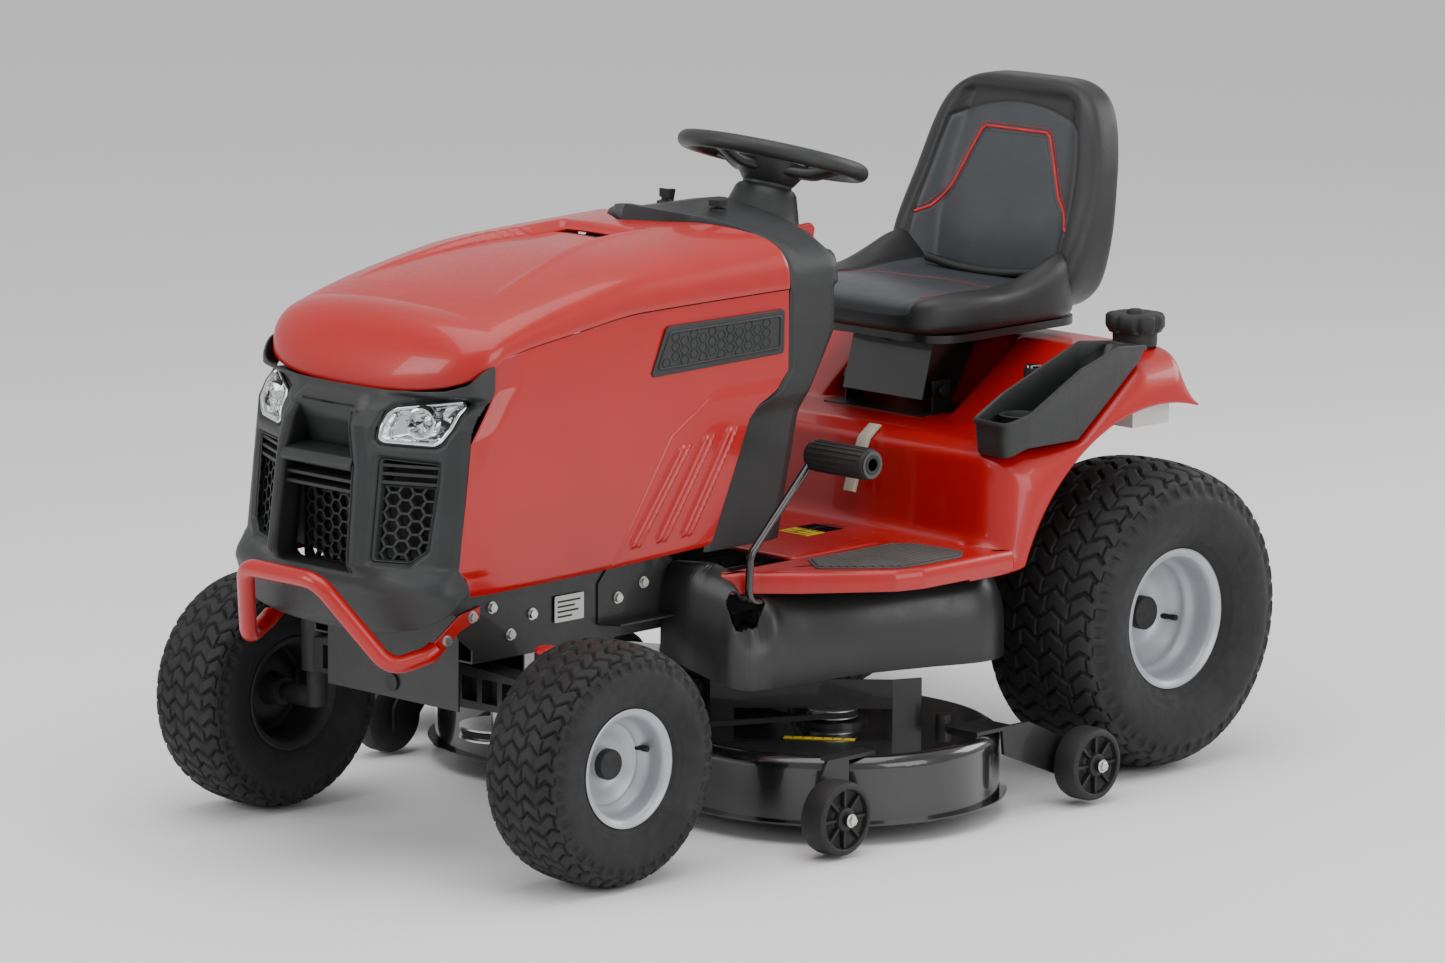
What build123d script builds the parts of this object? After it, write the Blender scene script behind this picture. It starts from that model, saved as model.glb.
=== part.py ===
from build123d import *
import os
from math import sin, cos, radians, pi, sqrt

os.makedirs("parts", exist_ok=True)

# ---------------------------------------------------------------- driving dimensions (mm)
# Z up, ground at z = 0, front of the mower towards -Y, operator's left towards +X,
# x = 0 is the centre plane, y = 0 is midway between the axles.
FRONT_Y, REAR_Y = -620.0, 620.0          # axle stations
FRONT_R, FRONT_X = 190.5, 380.0          # front tyre radius, half track
REAR_R, REAR_X = 257.0, 385.0            # rear tyre radius, half track
KING_X = 262.0                           # kingpin distance from the centre plane
STEER_ARM = 100.0                        # tie-rod arm length
DRAG_ARM = 90.0                          # drag-link arm length, equal to the pitman arm
AXLE_PIVOT_Z = 270.0
RAIL_X = 180.0                           # outer face of the frame rails
BORE_GAP = 0.05                          # radial running clearance
CRANK_Y = -470.0                         # engine crankshaft station
DECK_X, DECK_Y = 268.0, 20.0             # blade centres
DECK_R, DECK_TOP, DECK_BASE = 272.0, 140.0, 32.0
BLADE_HALF = 255.0
COLUMN_TILT = 16.0                       # steering column rake from vertical
COLUMN_TOP = (0.0, 150.0, 1022.0)        # steering wheel centre
MODULE = 3.0
PINION_T, SECTOR_T = 12, 63              # steering gear teeth
SEAT_HALF = 215.0
BRAKE_PIVOT = (-60.0, 345.0)             # y, z
LIFT_PIVOT = (330.0, 440.0)
HINGE = (-780.0, 440.0)                  # hood hinge, y, z

ct, st = cos(radians(COLUMN_TILT)), sin(radians(COLUMN_TILT))


def column_point(z):
    """Point of the steering column axis at height z."""
    return (0.0, COLUMN_TOP[1] + (z - COLUMN_TOP[2]) * st / ct, z)


def sided(points):
    """Full outline from the x >= 0 half, given from one end on the centre plane to the other."""
    return points + [(-x, y) for x, y in reversed(points) if abs(x) > 1e-9]


def wheel_plane(x, y, z):
    return Plane(origin=(x, y, z), x_dir=(1, 0, 0), z_dir=(0, 0, 1))


def arc_points(cx, cy, r, a0, a1, n):
    return [(cx + r * cos(radians(a0 + (a1 - a0) * i / n)), cy + r * sin(radians(a0 + (a1 - a0) * i / n))) for i in range(n + 1)]


# ================================================================ wheels
with BuildPart() as front_tyre_left:
    with BuildSketch(wheel_plane(FRONT_X, FRONT_Y, FRONT_R)) as s:
        with BuildLine():
            Polyline((-47, 79), (-59.5, 79), (-59.5, 92.5), (-66, 100))
            ThreePointArc((-66, 100), (-77, 140), (-68, 178))
            ThreePointArc((-68, 178), (0, FRONT_R), (68, 178))
            ThreePointArc((68, 178), (77, 140), (66, 100))
            Polyline((66, 100), (59.5, 92.5), (59.5, 79), (47, 79), (47, 92), (56, 104), (66, 140), (58, 168), (0, 180), (-58, 168), (-66, 140), (-56, 104), (-47, 92), (-47, 79))
        make_face()
    revolve(axis=Axis((0, FRONT_Y, FRONT_R), (1, 0, 0)))
front_tyre_left.part.label = "front_tyre_left"
export_step(front_tyre_left.part, "parts/front_tyre_left.step")

with BuildPart() as front_tyre_right:
    mirror(front_tyre_left.part, about=Plane.YZ)
front_tyre_right.part.label = "front_tyre_right"
export_step(front_tyre_right.part, "parts/front_tyre_right.step")

with BuildPart() as front_rim_left:      # pressed rim with hub tube, and the push-on cap as a second solid
    with BuildSketch(wheel_plane(FRONT_X, FRONT_Y, FRONT_R)) as s:
        with BuildLine():
            Polyline((-63, 92), (-60, 92), (-60, 78.5), (60, 78.5), (60, 92), (63, 92), (63, 75.5), (0, 75.5), (-6, 66), (-6, 22), (12, 22),
                     (12, 10 + BORE_GAP), (-40, 10 + BORE_GAP), (-40, 22), (-9, 22), (-9, 68), (-3.5, 75.5), (-63, 75.5), close=True)
        make_face()
        with BuildLine():
            Polyline((12.5, 14), (12.5, 24), (24, 24), (26, 21), (26, 0), (20.5, 0), (20.5, 14), close=True)
        make_face()
    revolve(axis=Axis((0, FRONT_Y, FRONT_R), (1, 0, 0)))
front_rim_left.part.label = "front_rim_left"
export_step(front_rim_left.part, "parts/front_rim_left.step")

with BuildPart() as front_rim_right:
    mirror(front_rim_left.part, about=Plane.YZ)
front_rim_right.part.label = "front_rim_right"
export_step(front_rim_right.part, "parts/front_rim_right.step")

with BuildPart() as rear_tyre_left:
    with BuildSketch(wheel_plane(REAR_X, REAR_Y, REAR_R)) as s:
        with BuildLine():
            Polyline((-76, 102.2), (-91.5, 102.2), (-91.5, 116.5), (-104, 128))
            ThreePointArc((-104, 128), (-126.5, 180), (-108, 238))
            ThreePointArc((-108, 238), (0, REAR_R), (108, 238))
            ThreePointArc((108, 238), (126.5, 180), (104, 128))
            Polyline((104, 128), (91.5, 116.5), (91.5, 102.2), (76, 102.2), (76, 116), (92, 132), (113, 180), (96, 228), (0, 244), (-96, 228), (-113, 180), (-92, 132), (-76, 116), (-76, 102.2))
        make_face()
    revolve(axis=Axis((0, REAR_Y, REAR_R), (1, 0, 0)))
rear_tyre_left.part.label = "rear_tyre_left"
export_step(rear_tyre_left.part, "parts/rear_tyre_left.step")

with BuildPart() as rear_tyre_right:
    mirror(rear_tyre_left.part, about=Plane.YZ)
rear_tyre_right.part.label = "rear_tyre_right"
export_step(rear_tyre_right.part, "parts/rear_tyre_right.step")

with BuildPart() as rear_rim_left:       # rim with hub and keyed half-shaft welded in, and the push-on cap
    with BuildSketch(wheel_plane(REAR_X, REAR_Y, REAR_R)) as s:
        with BuildLine():
            Polyline((-95, 116), (-92, 116), (-92, 101.6), (92, 101.6), (92, 116), (95, 116), (95, 98.6), (0, 98.6), (-8, 88), (-8, 26), (18, 26),
                     (18, 0), (-265, 0), (-265, 10), (-60, 10), (-60, 26), (-11, 26), (-11, 90), (-3, 98.6), (-95, 98.6), close=True)
        make_face()
        with BuildLine():
            Polyline((18.5, 0), (18.5, 28), (33, 28), (35, 25), (35, 0), close=True)
        make_face()
    revolve(axis=Axis((0, REAR_Y, REAR_R), (1, 0, 0)))
rear_rim_left.part.label = "rear_rim_left"
export_step(rear_rim_left.part, "parts/rear_rim_left.step")

with BuildPart() as rear_rim_right:
    mirror(rear_rim_left.part, about=Plane.YZ)
rear_rim_right.part.label = "rear_rim_right"
export_step(rear_rim_right.part, "parts/rear_rim_right.step")

# ================================================================ front axle and steering
with BuildPart() as front_axle_beam:     # cast beam with pockets, kingpin bosses and centre pivot pin
    with BuildSketch(Plane.XZ.offset(620)) as s:
        Polygon(*sided([(0, 306), (90, 306), (190, 300), (245, 296), (245, 244), (190, 240), (90, 236), (0, 236)]), align=None)
    extrude(amount=24, both=True)
    with Locations(Plane.XZ.offset(644)):
        for px0 in (-205, -160, -115, 115, 160, 205):
            with Locations((px0, 269)):
                Box(34, 38, 44, align=(Align.CENTER, Align.CENTER, Align.CENTER), mode=Mode.SUBTRACT)
    with Locations((KING_X, FRONT_Y, 281), (-KING_X, FRONT_Y, 281)):
        Cylinder(25, 84)
    with Locations((KING_X, FRONT_Y, 281), (-KING_X, FRONT_Y, 281)):
        Cylinder(11 + BORE_GAP, 90, mode=Mode.SUBTRACT)
    with Locations(Location((0, -626, AXLE_PIVOT_Z), (90, 0, 0))):
        Cylinder(14, 156)
front_axle_beam.part.label = "front_axle_beam"
export_step(front_axle_beam.part, "parts/front_axle_beam.step")

with BuildPart() as spindle_left:        # kingpin, stub axle, tie-rod arm, drag-link arm, grease cap
    with Locations((KING_X, FRONT_Y, 190)):
        Cylinder(11, 155, align=(Align.CENTER, Align.CENTER, Align.MIN))
    with Locations((KING_X, FRONT_Y, 180)):
        Cylinder(17, 58, align=(Align.CENTER, Align.CENTER, Align.MIN))
    with Locations(Location((KING_X, FRONT_Y, FRONT_R), (0, 90, 0))):
        Cylinder(10, 136, align=(Align.CENTER, Align.CENTER, Align.MIN))
    with Locations(Location((KING_X, FRONT_Y, FRONT_R), (0, 90, 0))):
        Cylinder(17, 64, align=(Align.CENTER, Align.CENTER, Align.MIN))
    with BuildSketch(Plane.XY.offset(224)) as s:
        with Locations((KING_X, FRONT_Y + STEER_ARM / 2)):
            Rectangle(26, STEER_ARM)
        with Locations((KING_X, FRONT_Y + STEER_ARM)):
            Circle(15)
    extrude(amount=10)
    with Locations((KING_X, FRONT_Y + STEER_ARM, 224)):
        Cylinder(6, 42, align=(Align.CENTER, Align.CENTER, Align.MIN))
    with Locations((KING_X, FRONT_Y, 323.5)):
        Cylinder(19, 20, align=(Align.CENTER, Align.CENTER, Align.MIN))
    with BuildSketch(Plane.XY.offset(214)) as s:
        with Locations((KING_X - DRAG_ARM / 2, FRONT_Y)):
            Rectangle(DRAG_ARM, 26)
        with Locations((KING_X - DRAG_ARM, FRONT_Y)):
            Circle(14)
    extrude(amount=10)
    with Locations((KING_X - DRAG_ARM, FRONT_Y, 190)):
        Cylinder(6, 26, align=(Align.CENTER, Align.CENTER, Align.MIN))
spindle_left.part.label = "spindle_left"
export_step(spindle_left.part, "parts/spindle_left.step")

with BuildPart() as spindle_right:
    with Locations((-KING_X, FRONT_Y, 190)):
        Cylinder(11, 155, align=(Align.CENTER, Align.CENTER, Align.MIN))
    with Locations((-KING_X, FRONT_Y, 180)):
        Cylinder(17, 58, align=(Align.CENTER, Align.CENTER, Align.MIN))
    with Locations(Location((-KING_X, FRONT_Y, FRONT_R), (0, -90, 0))):
        Cylinder(10, 136, align=(Align.CENTER, Align.CENTER, Align.MIN))
    with Locations(Location((-KING_X, FRONT_Y, FRONT_R), (0, -90, 0))):
        Cylinder(17, 64, align=(Align.CENTER, Align.CENTER, Align.MIN))
    with BuildSketch(Plane.XY.offset(224)) as s:
        with Locations((-KING_X, FRONT_Y + STEER_ARM / 2)):
            Rectangle(26, STEER_ARM)
        with Locations((-KING_X, FRONT_Y + STEER_ARM)):
            Circle(15)
    extrude(amount=10)
    with Locations((-KING_X, FRONT_Y + STEER_ARM, 224)):
        Cylinder(6, 42, align=(Align.CENTER, Align.CENTER, Align.MIN))
    with Locations((-KING_X, FRONT_Y, 323.5)):
        Cylinder(19, 20, align=(Align.CENTER, Align.CENTER, Align.MIN))
spindle_right.part.label = "spindle_right"
export_step(spindle_right.part, "parts/spindle_right.step")

TIE_Z = 250.0
with BuildPart() as tie_rod:
    with Locations(Location((0, FRONT_Y + STEER_ARM, TIE_Z), (0, 90, 0))):
        Cylinder(7, 2 * KING_X - 20)
    with Locations((KING_X, FRONT_Y + STEER_ARM, TIE_Z), (-KING_X, FRONT_Y + STEER_ARM, TIE_Z)):
        Cylinder(14, 16)
    with Locations((KING_X, FRONT_Y + STEER_ARM, TIE_Z)):
        Cylinder(6 + BORE_GAP, 20, mode=Mode.SUBTRACT)
    with Locations((-KING_X, FRONT_Y + STEER_ARM, TIE_Z)):
        Cylinder(7, 20, mode=Mode.SUBTRACT)
tie_rod.part.label = "tie_rod"
export_step(tie_rod.part, "parts/tie_rod.step")

# pinion on the column, internal-tooth sector in front of it, pitman arm below
PIN = column_point(470.0)
COL_PLANE = Plane(origin=PIN, x_dir=(1, 0, 0), z_dir=(0, st, ct))
r1, r2 = MODULE * PINION_T / 2, MODULE * SECTOR_T / 2
SEC_OFF = r2 - r1                                            # sector pivot ahead of the pinion
SEC = (0.0, PIN[1] - SEC_OFF * ct, PIN[2] + SEC_OFF * st)
SEC_PLANE = Plane(origin=SEC, x_dir=(1, 0, 0), z_dir=(0, st, ct))


def gear_points(n, r_root, r_tip, width, a0):
    """Trapezoid teeth: width is the share of the pitch taken by a tooth at mid height."""
    pts = []
    p = 360.0 / n
    for k in range(n):
        c = a0 + k * p
        wb, wt = p * (width / 2 + 0.11), p * (width / 2 - 0.11)
        for a, r in ((c - wb, r_root), (c - wt, r_tip), (c + wt, r_tip), (c + wb, r_root)):
            pts.append((r * cos(radians(a)), r * sin(radians(a))))
    return pts


WINDOW = 55.0
sector_window = arc_points(0, 0, 48, -90 + WINDOW, -90 - WINDOW, 10)
pitch_s = 360.0 / SECTOR_T
k = 0
half_n = int(WINDOW / pitch_s)
for i in range(-half_n, half_n + 1):
    c = -90.0 + i * pitch_s                                  # tooth centre, tooth points inwards
    for a, r in ((c - pitch_s * 0.31, r2 + 3.6), (c - pitch_s * 0.10, r2 - 2.2), (c + pitch_s * 0.10, r2 - 2.2), (c + pitch_s * 0.31, r2 + 3.6)):
        sector_window.append((r * cos(radians(a)), r * sin(radians(a))))
PITMAN_LEN = 180.0
with BuildPart() as steering_sector:
    with BuildSketch(SEC_PLANE) as s:
        Polygon(*([(20 * cos(radians(a)), 20 * sin(radians(a))) for a in (-20, 20, 60, 90, 120, 160, 200)] +
                  arc_points(0, 0, 114, -90 - 66, -90 + 66, 14)), align=None)
        Polygon(*sector_window, align=None, mode=Mode.SUBTRACT)
    extrude(amount=8, both=True)
    with BuildSketch(SEC_PLANE.offset(-PITMAN_LEN)) as s:
        Circle(10)
    extrude(amount=PITMAN_LEN + 22)
    with BuildSketch(SEC_PLANE.offset(-PITMAN_LEN)) as s:
        with Locations((-DRAG_ARM / 2, 0)):
            Rectangle(DRAG_ARM, 26)
        with Locations((-DRAG_ARM, 0)):
            Circle(14)
        Circle(18)
    extrude(amount=10)
    with BuildSketch(SEC_PLANE.offset(-PITMAN_LEN - 56)) as s:
        with Locations((-DRAG_ARM, 0)):
            Circle(5)
    extrude(amount=56)
steering_sector.part.label = "steering_sector"
export_step(steering_sector.part, "parts/steering_sector.step")

WHEEL_PLANE = Plane(origin=COLUMN_TOP, x_dir=(1, 0, 0), z_dir=(0, st, ct))
with BuildPart() as steering_wheel:      # rim, three spokes and hub, moulded cover; shaft with pinion as further solids
    with BuildSketch(Plane(origin=COLUMN_TOP, x_dir=(1, 0, 0), z_dir=(0, -ct, st))) as s:
        with Locations((145, 0)):
            Circle(14)
    revolve(axis=Axis(COLUMN_TOP, (0, st, ct)))
    with BuildSketch(WHEEL_PLANE.offset(-34)) as s:
        Circle(46)
    extrude(amount=30)
    for ang in (20, 160, 270):
        sp = Plane(origin=WHEEL_PLANE.offset(-24).origin, x_dir=(cos(radians(ang)), sin(radians(ang)) * ct, -sin(radians(ang)) * st), z_dir=(0, st, ct))
        with BuildSketch(sp) as s:
            with Locations((91, 0)):
                Rectangle(112, 34)
        extrude(amount=14)
        with BuildSketch(sp.offset(8)) as s:
            with Locations((139, 0)):
                Rectangle(12, 34)
        extrude(amount=12)
    with BuildSketch(WHEEL_PLANE.offset(-34 - 558)) as s:
        Circle(9.5)
    extrude(amount=558)
    with BuildSketch(COL_PLANE.offset(-7)) as s:
        Polygon(*gear_points(PINION_T, r1 - 3.6, r1 + 2.2, 0.40, 90.0 + 180.0 / PINION_T), align=None)
    extrude(amount=14)
    with BuildSketch(WHEEL_PLANE.offset(-4)) as s:
        RectangleRounded(78, 70, 14)
    extrude(amount=22, taper=12)
steering_wheel.part.label = "steering_wheel"
export_step(steering_wheel.part, "parts/steering_wheel.step")

# drag link from the left spindle's inner stud to the pitman stud (open pivot with clearance there)
PIT = SEC_PLANE.offset(-PITMAN_LEN - 29).origin
A0 = (KING_X - DRAG_ARM, FRONT_Y, 203.0)
A1 = (-DRAG_ARM, PIT.Y, PIT.Z)
link_len = sqrt(sum((A1[i] - A0[i]) ** 2 for i in range(3)))
with BuildPart() as drag_link:
    with BuildSketch(Plane(origin=A0, z_dir=(A1[0] - A0[0], A1[1] - A0[1], A1[2] - A0[2]))) as s:
        Circle(7)
    extrude(amount=link_len)
    with Locations(A0):
        Cylinder(14, 14)
    with Locations(A1):
        Cylinder(18, 12)
    with Locations(A0):
        Cylinder(6 + BORE_GAP, 40, mode=Mode.SUBTRACT)
    with Locations(A1):
        Cylinder(13.5, 40, mode=Mode.SUBTRACT)
drag_link.part.label = "drag_link"
export_step(drag_link.part, "parts/drag_link.step")

# ================================================================ frame
with BuildPart() as frame_rails:         # two pressed rails, deeper under the engine
    for side in (1, -1):
        with BuildSketch(Plane.YZ.offset(RAIL_X * side - (3 if side > 0 else 0))) as s:
            Polygon((-700, 328), (-700, 440), (-270, 440), (-225, 400), (700, 400), (700, 340), (650, 328), align=None)
        extrude(amount=3)
        with BuildSketch(Plane.XY.offset(325)) as s:
            with Locations(((RAIL_X - 15) * side, -25)):
                Rectangle(30, 1350)
        extrude(amount=3)
frame_rails.part.label = "frame_rails"
export_step(frame_rails.part, "parts/frame_rails.step")

with BuildPart() as frame_plates:        # front plates, cross members, engine plate, rear plate with tow hole
    for side in (1, -1):
        x0 = RAIL_X if side > 0 else -RAIL_X - 3
        with BuildSketch(Plane.YZ.offset(x0)) as s:
            Polygon((-700, 345), (-735, 372), (-735, 420), (-700, 443), (-560, 443), (-548, 415), (-548, 372), (-600, 345), align=None)
        extrude(amount=3)
        with BuildSketch(Plane.YZ.offset(x0)) as s:
            Polygon((-430, 352), (-430, 415), (-405, 443), (-290, 443), (-290, 352), align=None)
        extrude(amount=3)
        with BuildSketch(Plane.XY.offset(349)) as s:
            Polygon((side * 183, -430), (side * 183, -290), (side * 190, -250), (side * 214, -285), (side * 214, -410), align=None)
        extrude(amount=3)
    with BuildSketch(Plane.XY.offset(440)) as s:                       # engine plate
        with Locations((0, CRANK_Y)):
            Rectangle(2 * RAIL_X, 330)
        with Locations((0, CRANK_Y)):
            Circle(40, mode=Mode.SUBTRACT)
    extrude(amount=4)
    with BuildSketch(Plane.XZ.offset(697)) as s:                       # front cross member with pivot bore
        with Locations((0, 335)):
            Rectangle(298, 180)
    extrude(amount=3)
    with BuildSketch(Plane.XZ.offset(560)) as s:                       # rear pivot plate of the axle
        with Locations((0, 331)):
            Rectangle(298, 162)
    extrude(amount=-3)
    with Locations(Location((0, FRONT_Y, AXLE_PIVOT_Z), (90, 0, 0))):
        Cylinder(14 + BORE_GAP, 300, mode=Mode.SUBTRACT)
    with BuildSketch(Plane.XY.offset(378)) as s:                       # mid cross tube
        with Locations((0, 240)):
            Rectangle(2 * RAIL_X - 6.8, 30)
    extrude(amount=20)
    with BuildSketch(Plane.XY.offset(400)) as s:                       # rear cross plate
        with Locations((0, 620)):
            Rectangle(2 * RAIL_X, 120)
    extrude(amount=4)
    with Locations((0, 702, 368)):                                      # rear plate and tow plate
        Box(360, 4, 72)
    with BuildSketch(Plane.XY.offset(332)) as s:
        with Locations((0, 733)):
            Rectangle(180, 62)
        with Locations((0, 742)):
            Circle(8, mode=Mode.SUBTRACT)
    extrude(amount=6)
    with Locations(Location((180, BRAKE_PIVOT[0], BRAKE_PIVOT[1]), (0, 90, 0))):
        Cylinder(6, 126, align=(Align.CENTER, Align.CENTER, Align.MIN))
    with BuildSketch(Plane.YZ.offset(-183)) as s:                      # lift lever bracket and pin
        Polygon((315, 380), (345, 380), (345, 456), (315, 456), align=None)
    extrude(amount=3)
    with Locations(Location((-183, LIFT_PIVOT[0], LIFT_PIVOT[1]), (0, -90, 0))):
        Cylinder(6, 74, align=(Align.CENTER, Align.CENTER, Align.MIN))
    with Locations((0, 457.5, 573)):                                   # seat hinge base with ears and pin
        Box(220, 125, 3, align=(Align.CENTER, Align.CENTER, Align.MIN))
    for side in (1, -1):
        with Locations((side * 98.5, 458, 576)):
            Box(3, 44, 52, align=(Align.CENTER, Align.CENTER, Align.MIN))
    with Locations(Location((0, 455, 612), (0, 90, 0))):
        Cylinder(6, 212)
    with Locations(Location((108, 455, 612), (0, 90, 0)), Location((-108, 455, 612), (0, 90, 0))):
        Cylinder(11, 7)
    for side in (1, -1):                                               # hood hinge arms and pins
        with BuildSketch(Plane.YZ.offset(180 if side > 0 else -183)) as s:
            Polygon((-730, 400), (-700, 443), (-760, 453), (-790, 453), (-795, 440), (-788, 428), (-735, 405), align=None)
        extrude(amount=3)
        with Locations(Location((180 * side, HINGE[0], HINGE[1]), (0, 90 * side, 0))):
            Cylinder(6, 18, align=(Align.CENTER, Align.CENTER, Align.MIN))
frame_plates.part.label = "frame_plates"
export_step(frame_plates.part, "parts/frame_plates.step")

with BuildPart() as bumper:              # bent tube with flattened bolting ends
    with BuildLine() as bl:
        FilletPolyline((-184, -786, 360), (-160, -858, 338), (-80, -935, 474), (80, -935, 474), (160, -858, 338), (184, -786, 360), radius=34)
    with BuildSketch(Plane(origin=bl.line @ 0, z_dir=bl.line % 0)) as s:
        Circle(14)
    sweep()
    for side in (1, -1):
        with BuildSketch(Plane.YZ.offset(183.4 if side > 0 else -187.4)) as s:
            Polygon((-806, 340), (-812, 356), (-735, 408), (-688, 418), (-688, 396), (-735, 380), (-785, 340), align=None)
        extrude(amount=4)
bumper.part.label = "bumper"
export_step(bumper.part, "parts/bumper.step")

# ================================================================ engine
with BuildPart() as engine_block:        # crankcase, two finned cylinders, carburettor body; muffler as a second solid
    with Locations((0, CRANK_Y, 445)):
        Box(230, 210, 150, align=(Align.CENTER, Align.CENTER, Align.MIN))
    for side in (1, -1):
        with Locations((side * 130, CRANK_Y, 540)):
            Box(70, 130, 100)
        for i in range(5):
            with Locations((side * (120 + 14 * i), CRANK_Y, 540)):
                Box(5, 156, 118)
    with Locations((0, CRANK_Y + 135, 555)):
        Box(90, 62, 86)
    with BuildSketch(Plane.XZ.offset(660)) as s:
        with Locations((0, 510)):
            RectangleRounded(260, 110, 30)
    extrude(amount=70)
engine_block.part.label = "engine_block"
export_step(engine_block.part, "parts/engine_block.step")

with BuildPart() as blower_housing:
    with BuildSketch(Plane.XY.offset(600.5)) as s:
        with Locations((0, CRANK_Y + 20)):
            RectangleRounded(300, 270, 90)
    extrude(amount=110, taper=6)
    with Locations((0, CRANK_Y + 20, 710)):
        Cylinder(100, 22, align=(Align.CENTER, Align.CENTER, Align.MIN))
blower_housing.part.label = "blower_housing"
export_step(blower_housing.part, "parts/blower_housing.step")

UP_Z, LOW_Z = 352.0, 158.0               # belt planes
with BuildPart() as engine_pulley:       # crankshaft stub, drive pulley and blade pulley
    with Locations((0, CRANK_Y, 148)):
        Cylinder(12, 296, align=(Align.CENTER, Align.CENTER, Align.MIN))
    for z, r in ((UP_Z, 50.0), (LOW_Z, 50.0)):
        with Locations((0, CRANK_Y, z)):
            Cylinder(r, 20)
        with Locations((0, CRANK_Y, z + 8.5), (0, CRANK_Y, z - 8.5)):
            Cylinder(r + 12, 3)
engine_pulley.part.label = "engine_pulley"
export_step(engine_pulley.part, "parts/engine_pulley.step")

# ================================================================ drive
with BuildPart() as transaxle:           # hydrostatic casting with axle tubes
    with BuildSketch(Plane.XY.offset(186)) as s:
        with Locations((0, REAR_Y)):
            RectangleRounded(200, 200, 40)
    extrude(amount=138)
    with Locations(Location((0, REAR_Y, REAR_R), (0, 90, 0))):
        Cylinder(32, 440)
    with Locations(Location((0, REAR_Y, REAR_R), (0, 90, 0))):
        Cylinder(10 + BORE_GAP, 460, mode=Mode.SUBTRACT)
    with Locations((-130, REAR_Y - 60, 289), (130, REAR_Y - 60, 289)):
        Box(60, 30, 72)
transaxle.part.label = "transaxle"
export_step(transaxle.part, "parts/transaxle.step")

with BuildPart() as transaxle_pulley:
    with Locations((0, REAR_Y, 324.5)):
        Cylinder(10, 42, align=(Align.CENTER, Align.CENTER, Align.MIN))
    with Locations((0, REAR_Y, UP_Z)):
        Cylinder(60, 20)
    with Locations((0, REAR_Y, UP_Z + 8.5), (0, REAR_Y, UP_Z - 8.5)):
        Cylinder(72, 3)
transaxle_pulley.part.label = "transaxle_pulley"
export_step(transaxle_pulley.part, "parts/transaxle_pulley.step")


def belt_loop(circles, grow):
    """Convex outline round the pulleys, as polygon points."""
    pts = []
    for cx, cy, r in circles:
        pts += [((r + grow) * cos(radians(a)) + cx, (r + grow) * sin(radians(a)) + cy) for a in range(0, 360, 10)]
    pts = sorted(set((round(x, 4), round(y, 4)) for x, y in pts))

    def half(seq):
        out = []
        for p in seq:
            while len(out) > 1 and (out[-1][0] - out[-2][0]) * (p[1] - out[-2][1]) - (out[-1][1] - out[-2][1]) * (p[0] - out[-2][0]) <= 0:
                out.pop()
            out.append(p)
        return out
    lo, up = half(pts), half(reversed(pts))
    return lo[:-1] + up[:-1]


DRIVE = [(0, CRANK_Y, 50.0), (0, REAR_Y, 60.0)]
with BuildPart() as drive_belt:
    with BuildSketch(Plane.XY.offset(UP_Z - 5)) as s:
        Polygon(*belt_loop(DRIVE, 10.5), align=None)
        Polygon(*belt_loop(DRIVE, 1.2), align=None, mode=Mode.SUBTRACT)
    extrude(amount=10)
drive_belt.part.label = "drive_belt"
export_step(drive_belt.part, "parts/drive_belt.step")

# ================================================================ hood (tilts forward)
def section(y, half, drop=0.0, inset=0.0):
    """Closed hood section at station y: half gives (x, z) from the seam up to the centre."""
    pts = [(max(x - inset, 0.0), z - inset) for x, z in half]
    edge = (pts[0][0], half[0][1] - drop)
    return [edge] + pts + [(-x, z) for x, z in reversed(pts[:-1])] + [(-edge[0], edge[1])]


HOOD = [
    (-40, [(240, 853), (233, 884), (205, 914), (150, 932), (80, 946), (0, 955)]),
    (-390, [(240, 850), (230, 880), (203, 905), (150, 921), (80, 934), (0, 940)]),
    (-543, [(240, 833), (230, 858), (203, 881), (150, 896), (80, 909), (0, 915)]),
    (-693, [(240, 810), (227, 824), (197, 838), (150, 851), (80, 864), (0, 870)]),
    (-757, [(221, 776), (212, 790), (190, 805), (150, 817), (80, 829), (0, 834)]),
    (-786, [(120, 757), (111, 765), (95, 775), (75, 783), (40, 791), (0, 794)]),
]
with BuildPart() as hood_top:
    for (ya, ha), (yb, hb) in zip(HOOD[:-1], HOOD[1:]):
        with BuildSketch(Plane.XZ.offset(-ya)) as sa:
            Polygon(*section(ya, ha), align=None)
        with BuildSketch(Plane.XZ.offset(-yb)) as sb:
            Polygon(*section(yb, hb), align=None)
        loft(ruled=True)
    for (ya, ha), (yb, hb) in zip(HOOD[:-1], HOOD[1:]):
        with BuildSketch(Plane.XZ.offset(-ya if ya != -40 else 30)) as sa:
            Polygon(*section(ya, ha, drop=30, inset=3.5), align=None)
        with BuildSketch(Plane.XZ.offset(-yb if yb != -786 else 782)) as sb:
            Polygon(*section(yb, hb, drop=30, inset=3.5), align=None)
        loft(ruled=True, mode=Mode.SUBTRACT)
    with BuildSketch(Plane.XY.offset(700)) as s:                       # rear edge curved in plan
        Polygon(*sided([(0, -208), (60, -172), (100, -128), (160, -90), (205, -68), (260, -62), (260, 0), (0, 0)]), align=None)
    extrude(amount=400, mode=Mode.SUBTRACT)
hood_top.part.label = "hood_top"
export_step(hood_top.part, "parts/hood_top.step")

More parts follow.
